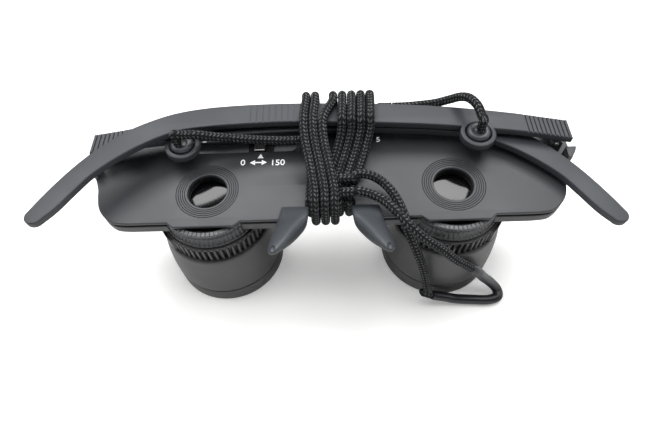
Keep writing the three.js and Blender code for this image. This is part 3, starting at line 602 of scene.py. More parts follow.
def sleeve_swell(along, share):
    # Smooth, and drawn in at its two ends
    end = min(along, SLEEVE_SPAN - along)
    if end > SLEEVE_TAPER:
        return SLEEVE_FULL
    rise = math.sin(max(end, 0) / SLEEVE_TAPER * math.pi / 2)
    return SLEEVE_END + (SLEEVE_FULL - SLEEVE_END) * rise


# Finishes. Noise scales are per metre, and the heights of a relief are metres.

PATCH_SCALE = 45
PATCH_TINT = 0.12
SPECK_ROUGHNESS = 0.7
GRAIN_HIGH = 0.00003
YARN_SCALE = 2600
YARN_HIGH = 0.0001
FLUTE_HIGH = 0.00012
DUST_SCALE = 900
FINE_SCALE = 3000


def shade(colour, share):
    return tuple(part * share for part in colour)


def moulded(name, colour, roughness, grain=2600, depth=0.35, **sockets):
    # Moulded plastic or rubber: a fine grain, faint flow patches, and a softer shine
    # where it is handled
    paint = Paint(name, colour, roughness, **sockets)
    worn = paint.noise(PATCH_SCALE, 3).between(0.35, 0.7)
    fine = paint.noise(grain, 2, SPECK_ROUGHNESS)
    darker, lighter = shade(colour, 1 - PATCH_TINT), shade(colour, 1 + PATCH_TINT)
    paint.set(
        Base_Color=paint.mix(worn * 0.7 + fine * 0.3, darker, lighter),
        Roughness=worn * -0.06 + fine * 0.08 + roughness,
        Normal=paint.bump(fine, depth, GRAIN_HIGH),
    )
    return paint.material


def braided(name):
    # Two sets of yarns cross round the cord, with painted shade that darkens the dips between
    # them, and each row along it shows pairs of slanted pale flecks, which are painted
    # highlights of the yarns' sheen
    paint = Paint(name, (0.01, 0.01, 0.011), 0.7, Specular_IOR_Level=0.12)
    along, share, _ = paint.axes(paint.add("ShaderNodeUVMap", {"uv_map": "Cord"}))
    one = (share * BRAID_CARRIERS + along / BRAID_PITCH) * (2 * math.pi)
    other = (share * BRAID_CARRIERS - along / BRAID_PITCH) * (2 * math.pi)
    yarn = (one.sin().abs() + other.sin().abs()) * 0.5
    row = ((share * BRAID_GLINT_ROWS) % 1 - 0.5).abs()
    lean = ((row * 1.3 + along / BRAID_PITCH) % 1 - 0.5).abs()
    in_row = row.between(0.03, 0.1) * (1 - row.between(0.3, 0.42))
    glint_flecks = in_row * (1 - lean.between(0.15, 0.28))
    fuzz = paint.noise(YARN_SCALE, 3)
    # Darker in the dips between the yarns and lighter on their crowns: painted shade
    dark = paint.mix(yarn * 0.7 + fuzz * 0.3, (0.003, 0.003, 0.004), (0.015, 0.015, 0.017))
    # The pale flecks are painted highlights where the yarns catch the light
    paint.set(
        Base_Color=paint.mix(glint_flecks * fuzz.between(0.3, 0.62), dark, (0.14, 0.15, 0.148)),
        Roughness=0.62 + fuzz * 0.2,
        Normal=paint.bump(yarn + glint_flecks * 0.5 + fuzz * 0.25, 0.8, YARN_HIGH),
    )
    return paint.material


def lens_glass(name, colour, roughness, **sockets):
    # Dark polished glass with specks of dust
    paint = Paint(
        name, colour, roughness, Coat_Roughness=0.02, Coat_Tint=(0.8, 0.86, 1.0, 1), **sockets)
    dust = paint.noise(DUST_SCALE, 5).between(0.62, 0.8)
    paint.set(Roughness=dust * 0.06 + roughness)
    return paint.material


def fluted(name, colour, roughness, flutes):
    # Soft upright flutes round each telescope's axis, whose hollows are painted darker as
    # painted shade
    paint = Paint(name, colour, roughness)
    x, y, _ = paint.axes(paint.place())
    angle = y.sum("ARCTAN2", x.abs() - AXIS_X * MM)
    wave = (angle * flutes).sin()
    fine = paint.noise(FINE_SCALE, 2, SPECK_ROUGHNESS)
    # The base colour is darker in the flutes' hollows and lighter on their crowns: painted
    # shade
    paint.set(
        Base_Color=paint.mix(fine * 0.6 + wave * 0.2 + 0.2, shade(colour, 0.8), colour),
        Roughness=fine * 0.08 + roughness,
        Normal=paint.bump(wave + fine * 0.05, 0.6, FLUTE_HIGH),
    )
    return paint.material


def brushed(name, colour):
    paint = Paint(name, colour, 0.32, Metallic=1.0)
    lines = paint.noise(FINE_SCALE, 2)
    paint.set(
        Base_Color=paint.mix(lines, colour, shade(colour, 0.8)),
        Roughness=lines * 0.18 + 0.24,
    )
    return paint.material


COVER = moulded("cover_plastic", (0.036, 0.039, 0.044), 0.46)
SHELL = moulded("housing_plastic", (0.05, 0.05, 0.053), 0.46)
TEMPLE_PLASTIC = moulded("temple_plastic", (0.035, 0.039, 0.046), 0.52, grain=2200)
BARREL = moulded("barrel_plastic", (0.066, 0.064, 0.065), 0.42, grain=3000, depth=0.2)
RING = moulded("ring_plastic", (0.028, 0.027, 0.028), 0.36, grain=3400, depth=0.12)
INNER = moulded("inner_plastic", (0.008, 0.008, 0.009), 0.7, Specular_IOR_Level=0.2)
# The tray's pale grey stands in for the bright surroundings its glossy floor mirrors: a painted
# reflection
TRAY_PAINTED_REFLECTION = moulded("tray_painted_reflection", (0.32, 0.335, 0.35), 0.36)
PAD_RUBBER = moulded("pad_rubber", (0.038, 0.043, 0.05), 0.4, grain=1800, depth=0.15)
BEAD = moulded("bead_rubber", (0.05, 0.056, 0.064), 0.36, grain=1800, depth=0.1)
SLEEVE = moulded("sleeve_rubber", (0.009, 0.009, 0.013), 0.36, grain=1500, depth=0.15)
CORD = braided("braided_cord")
EYE_GLASS = lens_glass("eye_glass", (0.004, 0.004, 0.005), 0.07, IOR=1.48)
FRONT_GLASS = lens_glass("front_glass", (0.01, 0.012, 0.016), 0.02, IOR=1.6, Coat_Weight=1.0)
STEEL = brushed("hinge_steel", (0.52, 0.52, 0.53))
COLLAR = fluted("collar_plastic", (0.06, 0.062, 0.066), 0.28, flutes=72)
# White print with a faint glow of its own: painted light that keeps it bright in the plate's
# shade
GLOWING_WHITE_PRINT = Paint(
    "index_white_glowing", (0.85, 0.86, 0.87), 0.6,
    Emission_Color=(1, 1, 1, 1), Emission_Strength=0.3).material


# Cord pieces

# Width, sides round, pace along, relief, finish and slot of the two kinds
BRAID = (CORD_WIDE, 24, 0.26, braid_swell, CORD, "cord")
RUBBER = (SLEEVE_WIDE, 32, 0.4, sleeve_swell, SLEEVE, "sleeve")
CORD_LAYS = {
    "cord_winding": ("coiled", BRAID),
    "cord_lead_left": ("taut", BRAID),
    "cord_lead_right": ("loose", BRAID),
    "cord_strand_upper": ("loose", BRAID),
    "cord_strand_lower": ("loose", BRAID),
    "cord_sleeve": ("loose", RUBBER),
}

# Between which points a lead turns from the plate to its temple
LEAD_TURNS = {
    "left": ((-12, 12.4, 38.3), (-36, 11, 42)),
    "right": ((19, 23.5, 38), (37, 18, 45)),
}


def metres(points):
    return [tuple((Vector(point) * MM) + SHIFT) for point in points]


def add_cord(name, lay, wide, sides, pace, swell, material, slot):
    piece, line, length = cord_mesh(name, wide, sides, pace, swell)
    piece.name = name.replace("cord_", "braid_")
    body = None if name.startswith("cord_lead") else "root"
    finish(piece, material, body, slot, name, angle=60)
    every = max(1, round(wide / pace))
    path = metres(line[:-1:every] + [line[-1]])
    length * MM
    wide * MM
    return piece


cord_pieces = {name: add_cord(name, lay, *kind) for name, (lay, kind) in CORD_LAYS.items()}
for hand, ends in LEAD_TURNS.items():
    lead = cord_pieces[f"cord_lead_{hand}"]
    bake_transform(lead)


# Table, light and background

FLOOR_GLOW = 0.23
# Between these distances from the middle, in metres, the floor's glow rises to white
FADE_FROM = 0.18
FADE_TO = 0.7
WORLD_LEVEL = 0.06

# Name, place, aim, size in metres and power in watts
LAMPS = (
    ("over", (0, 0.03, 0.85), (0, 0, 0.03), (1.0, 0.4), 4.5),
    ("behind_left", (-0.28, 0.42, 0.66), (0, 0, 0.03), (0.45, 0.35), 3.85),
    ("behind_right", (0.28, 0.42, 0.66), (0, 0, 0.03), (0.45, 0.35), 3.85),
    ("front", (0.1, -0.85, 0.2), (0, 0, 0.02), (0.8, 0.3), 1.4),
    ("side_left", (-0.8, 0.05, 0.4), (0, 0, 0.02), (0.5, 0.5), 1.8),
    ("side_right", (0.8, 0.05, 0.4), (0, 0, 0.02), (0.5, 0.5), 1.8),
)


def add_floor():
    # White paper with a faint glow for the camera, which keeps the shadows
    bpy.ops.mesh.primitive_plane_add(size=6)
    floor = named("floor")
    paint = Paint("floor_paper", (0.93, 0.93, 0.92), 0.4)
    paint.set(Roughness=paint.noise(120, 3) * 0.1 + 0.38)
    x, y, _ = paint.axes(paint.place())
    far = (x * x + y * y).between(FADE_FROM ** 2, FADE_TO ** 2)
    colour = paint.mix(far, (FLOOR_GLOW, FLOOR_GLOW, FLOOR_GLOW), (1, 1, 1))
    glow = paint.add("ShaderNodeEmission", {}, Color=colour, Strength=paint.camera_ray())
    paper = Value(paint, paint.shader.outputs["BSDF"])
    both = paint.add("ShaderNodeAddShader", {}, paper, glow)
    paint.feed(paint.tree.nodes["Material Output"].inputs["Surface"], both)
    floor.data.materials.append(paint.material)


def add_world():
    # White for the camera, and a low even level for the object
    world = bpy.data.worlds.new("studio")
    bpy.context.scene.world = world
    world.use_nodes = True
    sky = Nodes(world.node_tree)
    background = sky.tree.nodes["Background"]
    background.inputs["Color"].default_value = (1, 1, 1, 1)
    strength = sky.camera_ray() * (1 - WORLD_LEVEL) + WORLD_LEVEL
    sky.feed(background.inputs["Strength"], strength)


def add_lamp(name, place, aim, size, power):
    bpy.ops.object.light_add(type="AREA")
    lamp = bpy.context.object
    lamp.name = name
    lamp.data.shape = "RECTANGLE"
    lamp.data.size, lamp.data.size_y = size
    lamp.data.energy = power
    lamp.location = place
    way = Vector(aim) - Vector(place)
    lamp.rotation_euler = way.to_track_quat("-Z", "Y").to_euler()


bpy.context.scene.view_settings.view_transform = "Standard"
add_floor()
add_world()
for lamp in LAMPS:
    add_lamp(*lamp)


# Plate

# The wing's edge from the front to the back, in shares of HALF_WIDE and PLATE_BACK
WING = [
    (0.79, -0.505), (0.852, -0.478), (0.898, -0.36), (0.924, -0.226), (0.938, -0.065),
    (0.947, 0.086), (0.967, 0.258), (0.992, 0.409), (1.0, 0.565), (0.997, 0.753),
    (0.981, 0.914), (0.937, 1.0),
]
# The tab in front of each eyepiece, in shares of AXIS_X to each side of it
TAB_FOOT = 0.29
TAB_TOP = 0.24
SLOT = {"left": -40.5, "right": -8.7, "y": 14.5, "wide": 4.0}
SIGHT_RADIUS = 5.1
GROOVES = 5
GROOVE_FIRST = 5.9
GROOVE_APART = 0.55
GROOVE_HALF = 0.13
GROOVE_DEEP = 0.17
CUT_PROUD = 0.3
SCREWS = ((53.29, 3.72), (51.73, -4.09), (10.56, 7.81))
SCREW_HEAD_HOLE = 2.1
SCREW_SHANK_HOLE = 1.2
COLLAR_HOLE = 13.4
TRAY_MARGIN = 1.4
TRAY_DEEP = 1.3
SEAM = 0.5
SEAM_INSET = 0.6
WALL_FRONT = 5.0
WALL_END = 8.2
WALL_BACK = 17.2
RELIEF_DEEP = 0.6
KNUCKLE = 1.5
HINGE_Y = 12.8


def plate_outline(with_tab):
    half = [(0, NOTCH_Y)]
    half += arc(NOTCH_HALF_WIDE - NOTCH_CORNER, NOTCH_Y - NOTCH_CORNER, NOTCH_CORNER, 90, 0, 8)
    for i in range(17):
        x = NOTCH_HALF_WIDE + (ARCH_HALF_WIDE - NOTCH_HALF_WIDE) * i / 16
        rise = ARCH_RISE * math.cos(x / ARCH_HALF_WIDE * math.pi / 2) ** 2
        half.append((x, -PLATE_FRONT + rise))
    if with_tab:
        for share, reach in (
                (-TAB_FOOT, 0), (-TAB_TOP, TAB_REACH), (TAB_TOP, TAB_REACH), (TAB_FOOT, 0)):
            half.append((AXIS_X + share * AXIS_X, -PLATE_FRONT - reach))
    half += smooth_line([(a * HALF_WIDE, b * PLATE_BACK) for a, b in WING], 5)
    return half + [(-x, y) for x, y in reversed(half[1:])]


def nose_scoop():
    # A tilted gouge that hollows the bridge towards its front edge
    front = -PLATE_FRONT + ARCH_RISE
    gouge = rod("scoop", 1, 2 * (SCOOP_LONG + PLATE_FRONT), "Y", 96)
    gouge.data.transform(Matrix.Diagonal((SCOOP_HALF_WIDE, 1, SCOOP_DEEP, 1)))
    turn(gouge, math.degrees(math.atan2(SCOOP_DEEP, SCOOP_LONG)), "X")
    return move(gouge, y=front, z=PLATE_TOP)


def slot_outline(margin=0.0):
    radius = SLOT["wide"] / 2 + margin
    points = arc(SLOT["right"] - SLOT["wide"] / 2, SLOT["y"], radius, -90, 90, 20)
    return points + arc(SLOT["left"] + SLOT["wide"] / 2, SLOT["y"], radius, 90, 270, 20)


def ring_groove(radius):
    # A ring of V section, widened on above the plate
    spread = GROOVE_HALF * (1 + CUT_PROUD / GROOVE_DEEP)
    return revolved("groove", [
        (radius, PLATE_TOP - GROOVE_DEEP), (radius + spread, PLATE_TOP + CUT_PROUD),
        (radius - spread, PLATE_TOP + CUT_PROUD), (radius, PLATE_TOP - GROOVE_DEEP)])


def sight_hole():
    # A round hole with a small lip at its top and its bottom
    hole = SIGHT_RADIUS
    return revolved("sight", [
        (0, PLATE_TOP - 2), (hole + 0.2, PLATE_TOP - 2), (hole, PLATE_TOP - 0.7),
        (hole, PLATE_TOP - 0.3), (hole + 0.09, PLATE_TOP - 0.09),
        (hole + 0.5, PLATE_TOP + 0.15), (0, PLATE_TOP + 0.15)])


def back_cover():
    cover = flat_outline("cover", plate_outline(True), PLATE_TOP - COVER_THICK, PLATE_TOP, 0.3)
    slot = flat_outline("slot_cut", slot_outline(), PLATE_TOP - 2, PLATE_TOP + 1)
    cutters = [slot, nose_scoop()]
    for _, side in SIDES:
        x0, x1 = sorted((side * (HINGE_X + KNUCKLE), side * (HALF_WIDE + 1)))
        cutters.append(box_piece(
            "relief", x0, x1, WALL_END, WALL_BACK, PLATE_TOP - RELIEF_DEEP, PLATE_TOP + 1))
        cutters.append(move(sight_hole(), x=side * AXIS_X))
        for i in range(GROOVES):
            groove = ring_groove(GROOVE_FIRST + i * GROOVE_APART)
            cutters.append(move(groove, x=side * AXIS_X))
    carve(cover, *cutters)
    finish(clean(cover), COVER, "root", "cover", "back_cover", angle=28)


def housing_piece(name, bottom, top, edge, inset):
    piece = flat_outline(name, plate_outline(False), bottom, top, edge, 4, inset)
    tray = flat_outline(
        "tray_cut", slot_outline(TRAY_MARGIN), HOUSING_TOP - TRAY_DEEP, HOUSING_TOP + 1)
    cutters = [tray, nose_scoop()]
    for _, side in SIDES:
        hole = rod("collar_hole", COLLAR_HOLE, 8, steps=128)
        cutters.append(move(hole, x=side * AXIS_X, z=HOUSING_TOP - 1))
        for x, y in SCREWS:
            head = rod("head_hole", SCREW_HEAD_HOLE, 2.2)
            shank = rod("shank_hole", SCREW_SHANK_HOLE, 9)
            cutters.append(move(head, side * x, y, HOUSING_BOTTOM))
            cutters.append(move(shank, side * x, y, HOUSING_BOTTOM + 1))
    return clean(carve(piece, *cutters))


def front_housing():
    # Its top edge steps in under the cover, which leaves a dark seam all round
    step = HOUSING_TOP - SEAM
    housing = housing_piece("housing", HOUSING_BOTTOM, step, 0.3, 0)
    finish(housing, SHELL, "root", "shell", "front_housing", angle=28)
    neck = housing_piece("housing_neck", step - 0.1, HOUSING_TOP, 0, SEAM_INSET)
    finish(neck, SHELL, "root", "shell", angle=28)


back_cover()
front_housing()


SLIDER_X = -18.8
SLIDER_TOP = PLATE_TOP + 1.2
FOOT_TOP = PLATE_TOP - COVER_THICK - 0.2
FOOT_THICK = 0.5
FOOT_HALF = (3.5, 2.7)
KNOB_HALF = (1.5, 1.7)
KNOB_GRIPS = (-0.9, -0.3, 0.3, 0.9)
GRIP_HALF = 0.16
GRIP_DEEP = 0.35


def middle_box(name, half, bottom, top, x=SLIDER_X, y=SLOT["y"]):
    return box_piece(name, x - half[0], x + half[0], y - half[1], y + half[1], bottom, top)


def diopter_slider():
    foot = middle_box("slider_foot", FOOT_HALF, FOOT_TOP - FOOT_THICK, FOOT_TOP)
    knob = middle_box("slider_knob", KNOB_HALF, FOOT_TOP - FOOT_THICK / 2, SLIDER_TOP)
    grips = [
        middle_box("grip", (GRIP_HALF, 2), SLIDER_TOP - GRIP_DEEP, SLIDER_TOP + 1, SLIDER_X + x)
        for x in KNOB_GRIPS]
    modify(knob, "BEVEL", width=0.3, segments=3, limit_method="ANGLE")
    carve(knob, *grips)
    modify(foot, "BEVEL", width=0.12, segments=2, limit_method="ANGLE")
    slider = join([knob, foot], "slider")
    finish(slider, RING, "diopter_slider", "ring", "diopter_slider")
    front = SLOT["y"] - KNOB_HALF[1]
    line = box_piece(
        "slider_line", SLIDER_X - 1.5, SLIDER_X + 1.2, front - 0.04, front + 0.01,
        SLIDER_TOP - 0.75, SLIDER_TOP - 0.45)
    finish(line, GLOWING_WHITE_PRINT, "diopter_slider", "ring")


diopter_slider()


# Print: plain numbers, an arrow and small ticks, a hair proud of the cover

PRINT_PROUD = 0.03
PRINT_HALF_THICK = 0.02
NUMBERS = (("0", -23.3, 8.9, 1.9), ("150", -13.9, 8.6, 1.9), ("5", 13.6, 15.5, 1.7))
ARROW_HALF = [(0.9, -0.2), (0.9, -0.85), (2.3, 0), (0.9, 0.85), (0.9, 0.2)]
POINTER = [(-0.8, -0.7), (0.8, -0.7), (0, 0.8)]
TICK = [(-0.5, -0.3), (0.5, -0.3), (0.5, 0.3), (-0.5, 0.3)]
TICKS = ((-46.5, 16.3), (-34.6, 16.8), (4.2, 12.6))


def finish_print(piece, x, y):
    move(piece, x, y, PLATE_TOP + PRINT_PROUD)
    finish(piece, GLOWING_WHITE_PRINT, "root", "cover", angle=0)


def printed_number(text, x, y, high):
    bpy.ops.object.text_add()
    piece = bpy.context.object
    piece.data.body = text
    piece.data.size = high * 1.4
    piece.data.align_x = "CENTER"
    piece.data.align_y = "CENTER"
    piece.data.extrude = PRINT_HALF_THICK
    piece.data.offset = 0.03
    alone(piece)
    bpy.ops.object.convert(target="MESH")
    finish_print(clean(named("number_" + text)), x, y)


def printed_shape(name, points, x, y):
    finish_print(flat_outline(name, points, -PRINT_HALF_THICK, PRINT_HALF_THICK), x, y)


for number in NUMBERS:
    printed_number(*number)
printed_shape("arrow", ARROW_HALF + [(-x, -y) for x, y in ARROW_HALF], -19.1, 8.85)
printed_shape("pointer", POINTER, -18.6, 11.0)
for x, y in TICKS:
    printed_shape("tick", TICK, x, y)


# Telescopes, each made about its own axis. Profiles are pairs of radius and height.

RIM_RADIUS = 16.4
BARREL_BORE = 13.2
CELL_BORE = 11.9
EYE_BORE = 7.2
ROUND_STEPS = 160
# Radius, bottom, top, and how far the bottom and the top bulge out at the middle
FRONT_LENS = (11.7, 8.45, 10.15, 1.3, 1.3)
EYE_LENS = (7.0, 28.1, 30.7, 0.0, -0.9)

TEETH = 40
TOOTH_PITCH = math.radians(6.4)
TEETH_FROM = math.radians(54)
TOOTH_TIP = 14.3
TOOTH_ROOT = 13.3
TEETH_GAP = 0.55 * TOOTH_PITCH
STOP_RADIUS = 14.9
# One tooth and the gap before it, as shares of the pitch and radii
TOOTH = (
    (0, TOOTH_ROOT + 0.12), (0.05, TOOTH_ROOT + 0.02), (0.18, TOOTH_ROOT),
    (0.31, TOOTH_ROOT + 0.02), (0.36, TOOTH_ROOT + 0.12), (0.45, TOOTH_TIP - 0.14),
    (0.5, TOOTH_TIP - 0.03), (0.57, TOOTH_TIP), (0.79, TOOTH_TIP), (0.86, TOOTH_TIP - 0.03),
    (0.91, TOOTH_TIP - 0.14),
)


def baffles(count, radius, deep, first, apart, high):
    # Fine rings in a bore, from the top down, that keep stray light out
    return [
        point for i in range(count)
        for point in ((radius, first - i * apart), (radius + deep, first - i * apart - high))]


def objective_bezel(name):
    return revolved(name, [
        (14.9, 0.35), (15.05, 0.08), (15.3, 0), (15.9, 0), (16.2, 0.1), (16.38, 0.35),
        (RIM_RADIUS, 0.7), (RIM_RADIUS, 4.85), (16.25, 5.2), (15.9, 5.4), (14.3, 5.4),
        (14.3, 8), (BARREL_BORE, 8), (BARREL_BORE, 2.9), (14.7, 0.9), (14.9, 0.35)],
        ROUND_STEPS)


def barrel(name):
    taper = [(RIM_RADIUS, 6.15), (16.36, 9), (16.12, 13), (15.72, 17), (15.2, 20.2)]
    return revolved(name, [
        (14.6, 5.6), (15.9, 5.6), (16.25, 5.8), *smooth_line(taper, 6),
        (15.1, 20.8), (14.95, 21.15), (14.7, 21.4), (11.6, 21.4), (11.6, 31), (10.6, 31),
        (10.6, 20.3), (BARREL_BORE, 19.2), (BARREL_BORE, 8.2), (14.6, 8.2), (14.6, 5.6)],
        ROUND_STEPS)


def objective_cell(name):
    return revolved(name, [
        (CELL_BORE, 6.6), (12.1, 6.6), (12.9, 6.8), (12.9, 14.1), (CELL_BORE, 14.1),
        *baffles(6, CELL_BORE, -0.25, 13.8, 0.42, 0.2),
        (CELL_BORE, 11.15), (11.1, 11.15), (11.1, 10.35), (CELL_BORE, 10.35),
        *baffles(6, CELL_BORE, -0.3, 10.1, 0.5, 0.25),
        (CELL_BORE, 6.6)])


def lens(name, radius, bottom, top, low_bulge, high_bulge):
    steps = 16
    rise = [(radius * i / steps, 1 - (i / steps) ** 2) for i in range(steps + 1)]
    low = [(r, bottom - low_bulge * share) for r, share in rise]
    high = [(r, top + high_bulge * share) for r, share in reversed(rise)]
    return revolved(name, low + high, 96)


def tooth_outline(side):
    # Teeth round most of the ring, and a smooth stop between the last and the first
    places = [
        (radius, TEETH_FROM + i * TOOTH_PITCH + share * TOOTH_PITCH)
        for i in range(TEETH) for share, radius in TOOTH]
    end = TEETH_FROM + TEETH * TOOTH_PITCH
    places.append((TOOTH_ROOT + 0.1, end))
    stop_from = end + TEETH_GAP
    stop_to = TEETH_FROM + 2 * math.pi - TEETH_GAP
    places += [(STOP_RADIUS, stop_from + (stop_to - stop_from) * i / 48) for i in range(49)]
    points = [(r * math.cos(a), r * math.sin(a)) for r, a in places]
    return points if side > 0 else [(-x, y) for x, y in reversed(points)]


def focus_ring(name, side):
    ring = flat_outline(name, tooth_outline(side), 21.7, 26.75, 0.12, 2)
    rim = revolved("ring_rim", [
        (0, 26.2), (13.9, 26.2), (14.05, 26.35), (14.05, 26.85), (13.9, 27.1), (0, 27.1)],
        ROUND_STEPS)
    carve(ring, rim, operation="UNION")
    return carve(ring, move(rod("ring_bore", CELL_BORE, 12, steps=128), z=24))


def eyepiece_collar(name, side):
    waist = [
        (13.1 - 0.9 * math.sin(i / 12 * math.pi) * (1 - i / 24), 28.15 + 3.6 * i / 12)
        for i in range(13)]
    collar = revolved(name, [
        (CELL_BORE, 27.4), (13.35, 27.4), (13.5, 27.5), (13.5, 27.95), (13.38, 28.1), *waist,
        (13.1, 31.9), (13.1, 32.38), (13.0, 32.5), (CELL_BORE, 32.5), (CELL_BORE, 27.4)],
        ROUND_STEPS)
    if side < 0:
        # Room for the slider's tray
        x0, x1 = SLOT["left"] - TRAY_MARGIN + AXIS_X, SLOT["right"] + TRAY_MARGIN + AXIS_X
        carve(collar, box_piece("relief", x0, x1, 11.5, 18.6, 31.6, 35))
    return collar


def eyepiece_tube(name):
    return revolved(name, [
        (EYE_BORE, 24.5), (10.15, 24.5), (10.3, 24.65), (10.3, 32.3), (10.15, 32.5),
        (5.3, 32.5), (SIGHT_RADIUS, 32.4), (SIGHT_RADIUS, 32.1),
        *baffles(4, SIGHT_RADIUS, 0.22, 32.0, 0.28, 0.14),
        (SIGHT_RADIUS, 30.95), (EYE_BORE, 30.9),
        *baffles(8, EYE_BORE, 0.2, 27.6, 0.38, 0.19),
        (EYE_BORE, 24.5)])


def telescope(hand, side):
    cell = f"objective_cell_{hand}"
    ring = f"focus_ring_{hand}"
    for piece, material, body, slot, node, angle in (
            (objective_bezel("rim"), BARREL, "root", "barrel", "objective_bezel", 32),
            (barrel("tube"), BARREL, "root", "barrel", "barrel", 32),
            (objective_cell("cell"), INNER, cell, "inner", "objective_cell", 32),
            (lens("front_lens", *FRONT_LENS), FRONT_GLASS, cell, "glass", "objective_lens", 60),
            (focus_ring("toothed_ring", side), RING, ring, "ring", "focus_ring", 30),
            (eyepiece_collar("collar", side), COLLAR, "root", "ring", "eyepiece_collar", 32),
            (eyepiece_tube("eye_tube"), INNER, "root", "inner", "eyepiece_tube", 32),
            (lens("eye_lens", *EYE_LENS), EYE_GLASS, "root", "glass", "eyepiece_lens", 60)):
        piece.name = f"{hand}_{piece.name.split('.')[0]}"
        move(piece, x=side * AXIS_X)
        finish(piece, material, body, slot, f"{node}_{hand}", angle=angle)


for hand, side in SIDES:
    telescope(hand, side)


# Hinges

LUG_FOOT = PLATE_TOP - 0.3
LUG_TOP = PLATE_TOP + 3.6
EAR_LONG = 1.5
EAR_STARTS = (1.7, -3.2)
PIN_HALF_LONG = 3.2
PIN_RADIUS = 0.7
PIN_HOLE = 1.0


def pin_hole():
    return rod("pin_hole", PIN_HOLE, 8, "Y")


def hinge_lug(name):
    # A cheek that follows the plate's edge, and two ears whose feet go into the cover
    lug = flat_outline(name, plate_outline(True), LUG_FOOT, LUG_TOP, 0.5, 4)
    keep = box_piece(
        "keep", HINGE_X + KNUCKLE + 0.2, HALF_WIDE + 1, WALL_FRONT, WALL_END, 30, 40)
    carve(lug, keep, operation="INTERSECT")
    for start in EAR_STARTS:
        y0 = HINGE_Y + start
        y1 = y0 + EAR_LONG
        ear = move(rod("ear", KNUCKLE, EAR_LONG, "Y"), HINGE_X, (y0 + y1) / 2, HINGE_Z)
        foot = box_piece(
            "ear_foot", HINGE_X - KNUCKLE, HINGE_X + KNUCKLE, y0, y1, LUG_FOOT, HINGE_Z)
        carve(ear, foot, operation="UNION")
        carve(lug, ear, operation="UNION")
    return carve(lug, move(pin_hole(), HINGE_X, HINGE_Y, HINGE_Z))


def hinge_pin(name):
    long, radius = PIN_HALF_LONG, PIN_RADIUS
    pin = revolved(name, [
        (0, -long), (radius - 0.2, -long), (radius, 0.15 - long),
        (radius, long - 0.15), (radius - 0.2, long), (0, long)], 48)
    turn(pin, 90, "X")
    return move(pin, HINGE_X, HINGE_Y, HINGE_Z)


# Temples, made level for the right hinge and then set at the fold

# Stations from the hinge to the tip: how far along, how far up and how broad, in shares
# of TEMPLE_REACH, TEMPLE_BOW and TEMPLE_BROAD
TEMPLE = [
    (-0.0198, 0.618, 0.904), (0.0289, 0.693, 0.881), (0.0958, 0.781, 0.926),
    (0.2114, 0.892, 0.985), (0.3179, 0.952, 1.0), (0.432, 0.987, 1.0), (0.531, 1.0, 0.978),
    (0.618, 0.979, 0.993), (0.694, 0.934, 0.985), (0.754, 0.856, 0.933),
    (0.801, 0.716, 0.941), (0.843, 0.537, 0.948), (0.881, 0.311, 0.889), (0.915, 0.047, 0.8),
    (0.94, -0.216, 0.8), (0.962, -0.474, 0.77), (0.979, -0.653, 0.637),
]
TEMPLE_REACH = 131.5
TEMPLE_BOW = 19.0
TEMPLE_BROAD = 6.75
STRIP_LOW = 1.8
STRIP_HIGH = 3.8
EYELET = (-21.2, 11.1)
EYELET_RADIUS = 4.6
# Count, first place, distance, width and depth of the grip's ribs and the middle's
GRIP_RIBS = (10, -1.6, 1.08, 0.42, 0.3)
MIDDLE_RIBS = (9, 67.1, 1.65, 0.35, 0.15)


def temple_outline():
    rows = [(a * TEMPLE_REACH, u * TEMPLE_BOW, b * TEMPLE_BROAD / 2) for a, u, b in TEMPLE]
    rows = smooth_line(rows, 6)
    upper, lower = [], []
    for i, (along, up, half) in enumerate(rows):
        before = rows[max(i - 1, 0)]
        after = rows[min(i + 1, len(rows) - 1)]
        way = Vector((after[0] - before[0], after[1] - before[1])).normalized()
        if i == 0:
            way = Vector((1, 0))
        upper.append((-along + way.y * half, up + way.x * half))
        lower.append((-along - way.y * half, up - way.x * half))
    along, up, half = rows[-1]
    tip = []
    for i in range(1, 24):
        angle = math.pi / 2 - i * math.pi / 24
        ahead, aside = math.cos(angle) * half, math.sin(angle) * half
        tip.append((-along - way.x * ahead + way.y * aside, up + way.y * ahead + way.x * aside))
    return list(reversed(upper + tip + list(reversed(lower))))


def rib_cuts(count, first, apart, wide, deep):
    cuts = []
    for i in range(count):
        x = -(first + i * apart)
        cuts.append(box_piece(
            "rib_cut", x - wide / 2, x + wide / 2, -18, 27, STRIP_HIGH - deep, STRIP_HIGH + 1))
    return cuts


def temple(name):
    strip = flat_outline(name, temple_outline(), STRIP_LOW, STRIP_HIGH, 0.35, 4)
    x, y = EYELET
    rim = EYELET_RADIUS
    eyelet = revolved("eyelet", [
        (0, STRIP_LOW), (rim - 0.3, STRIP_LOW), (rim - 0.08, STRIP_LOW + 0.1),
        (rim, STRIP_LOW + 0.35), (rim, STRIP_HIGH - 0.45), (rim - 0.1, STRIP_HIGH - 0.15),
        (rim - 0.4, STRIP_HIGH), (0, STRIP_HIGH)], 96)
    knuckle = move(rod("knuckle", KNUCKLE, 2.8, "Y"), y=HINGE_Y)
    neck = box_piece(
        "knuckle_neck", -KNUCKLE, KNUCKLE, HINGE_Y - 1.4, HINGE_Y + 1.4, 0, STRIP_LOW + 0.35)
    carve(strip, move(eyelet, x, y), knuckle, neck, operation="UNION")
    hole = revolved("eyelet_hole", [
        (0, STRIP_LOW - 1), (3.5, STRIP_LOW - 1), (3.5, STRIP_LOW), (3.3, STRIP_LOW + 0.3),
        (3.3, STRIP_HIGH - 0.5), (3.42, STRIP_HIGH - 0.15), (3.9, STRIP_HIGH + 0.3),
        (0, STRIP_HIGH + 0.3)], 96)
    ribs = rib_cuts(*GRIP_RIBS) + rib_cuts(*MIDDLE_RIBS)
    return carve(strip, move(hole, x, y), move(pin_hole(), y=HINGE_Y), *ribs)


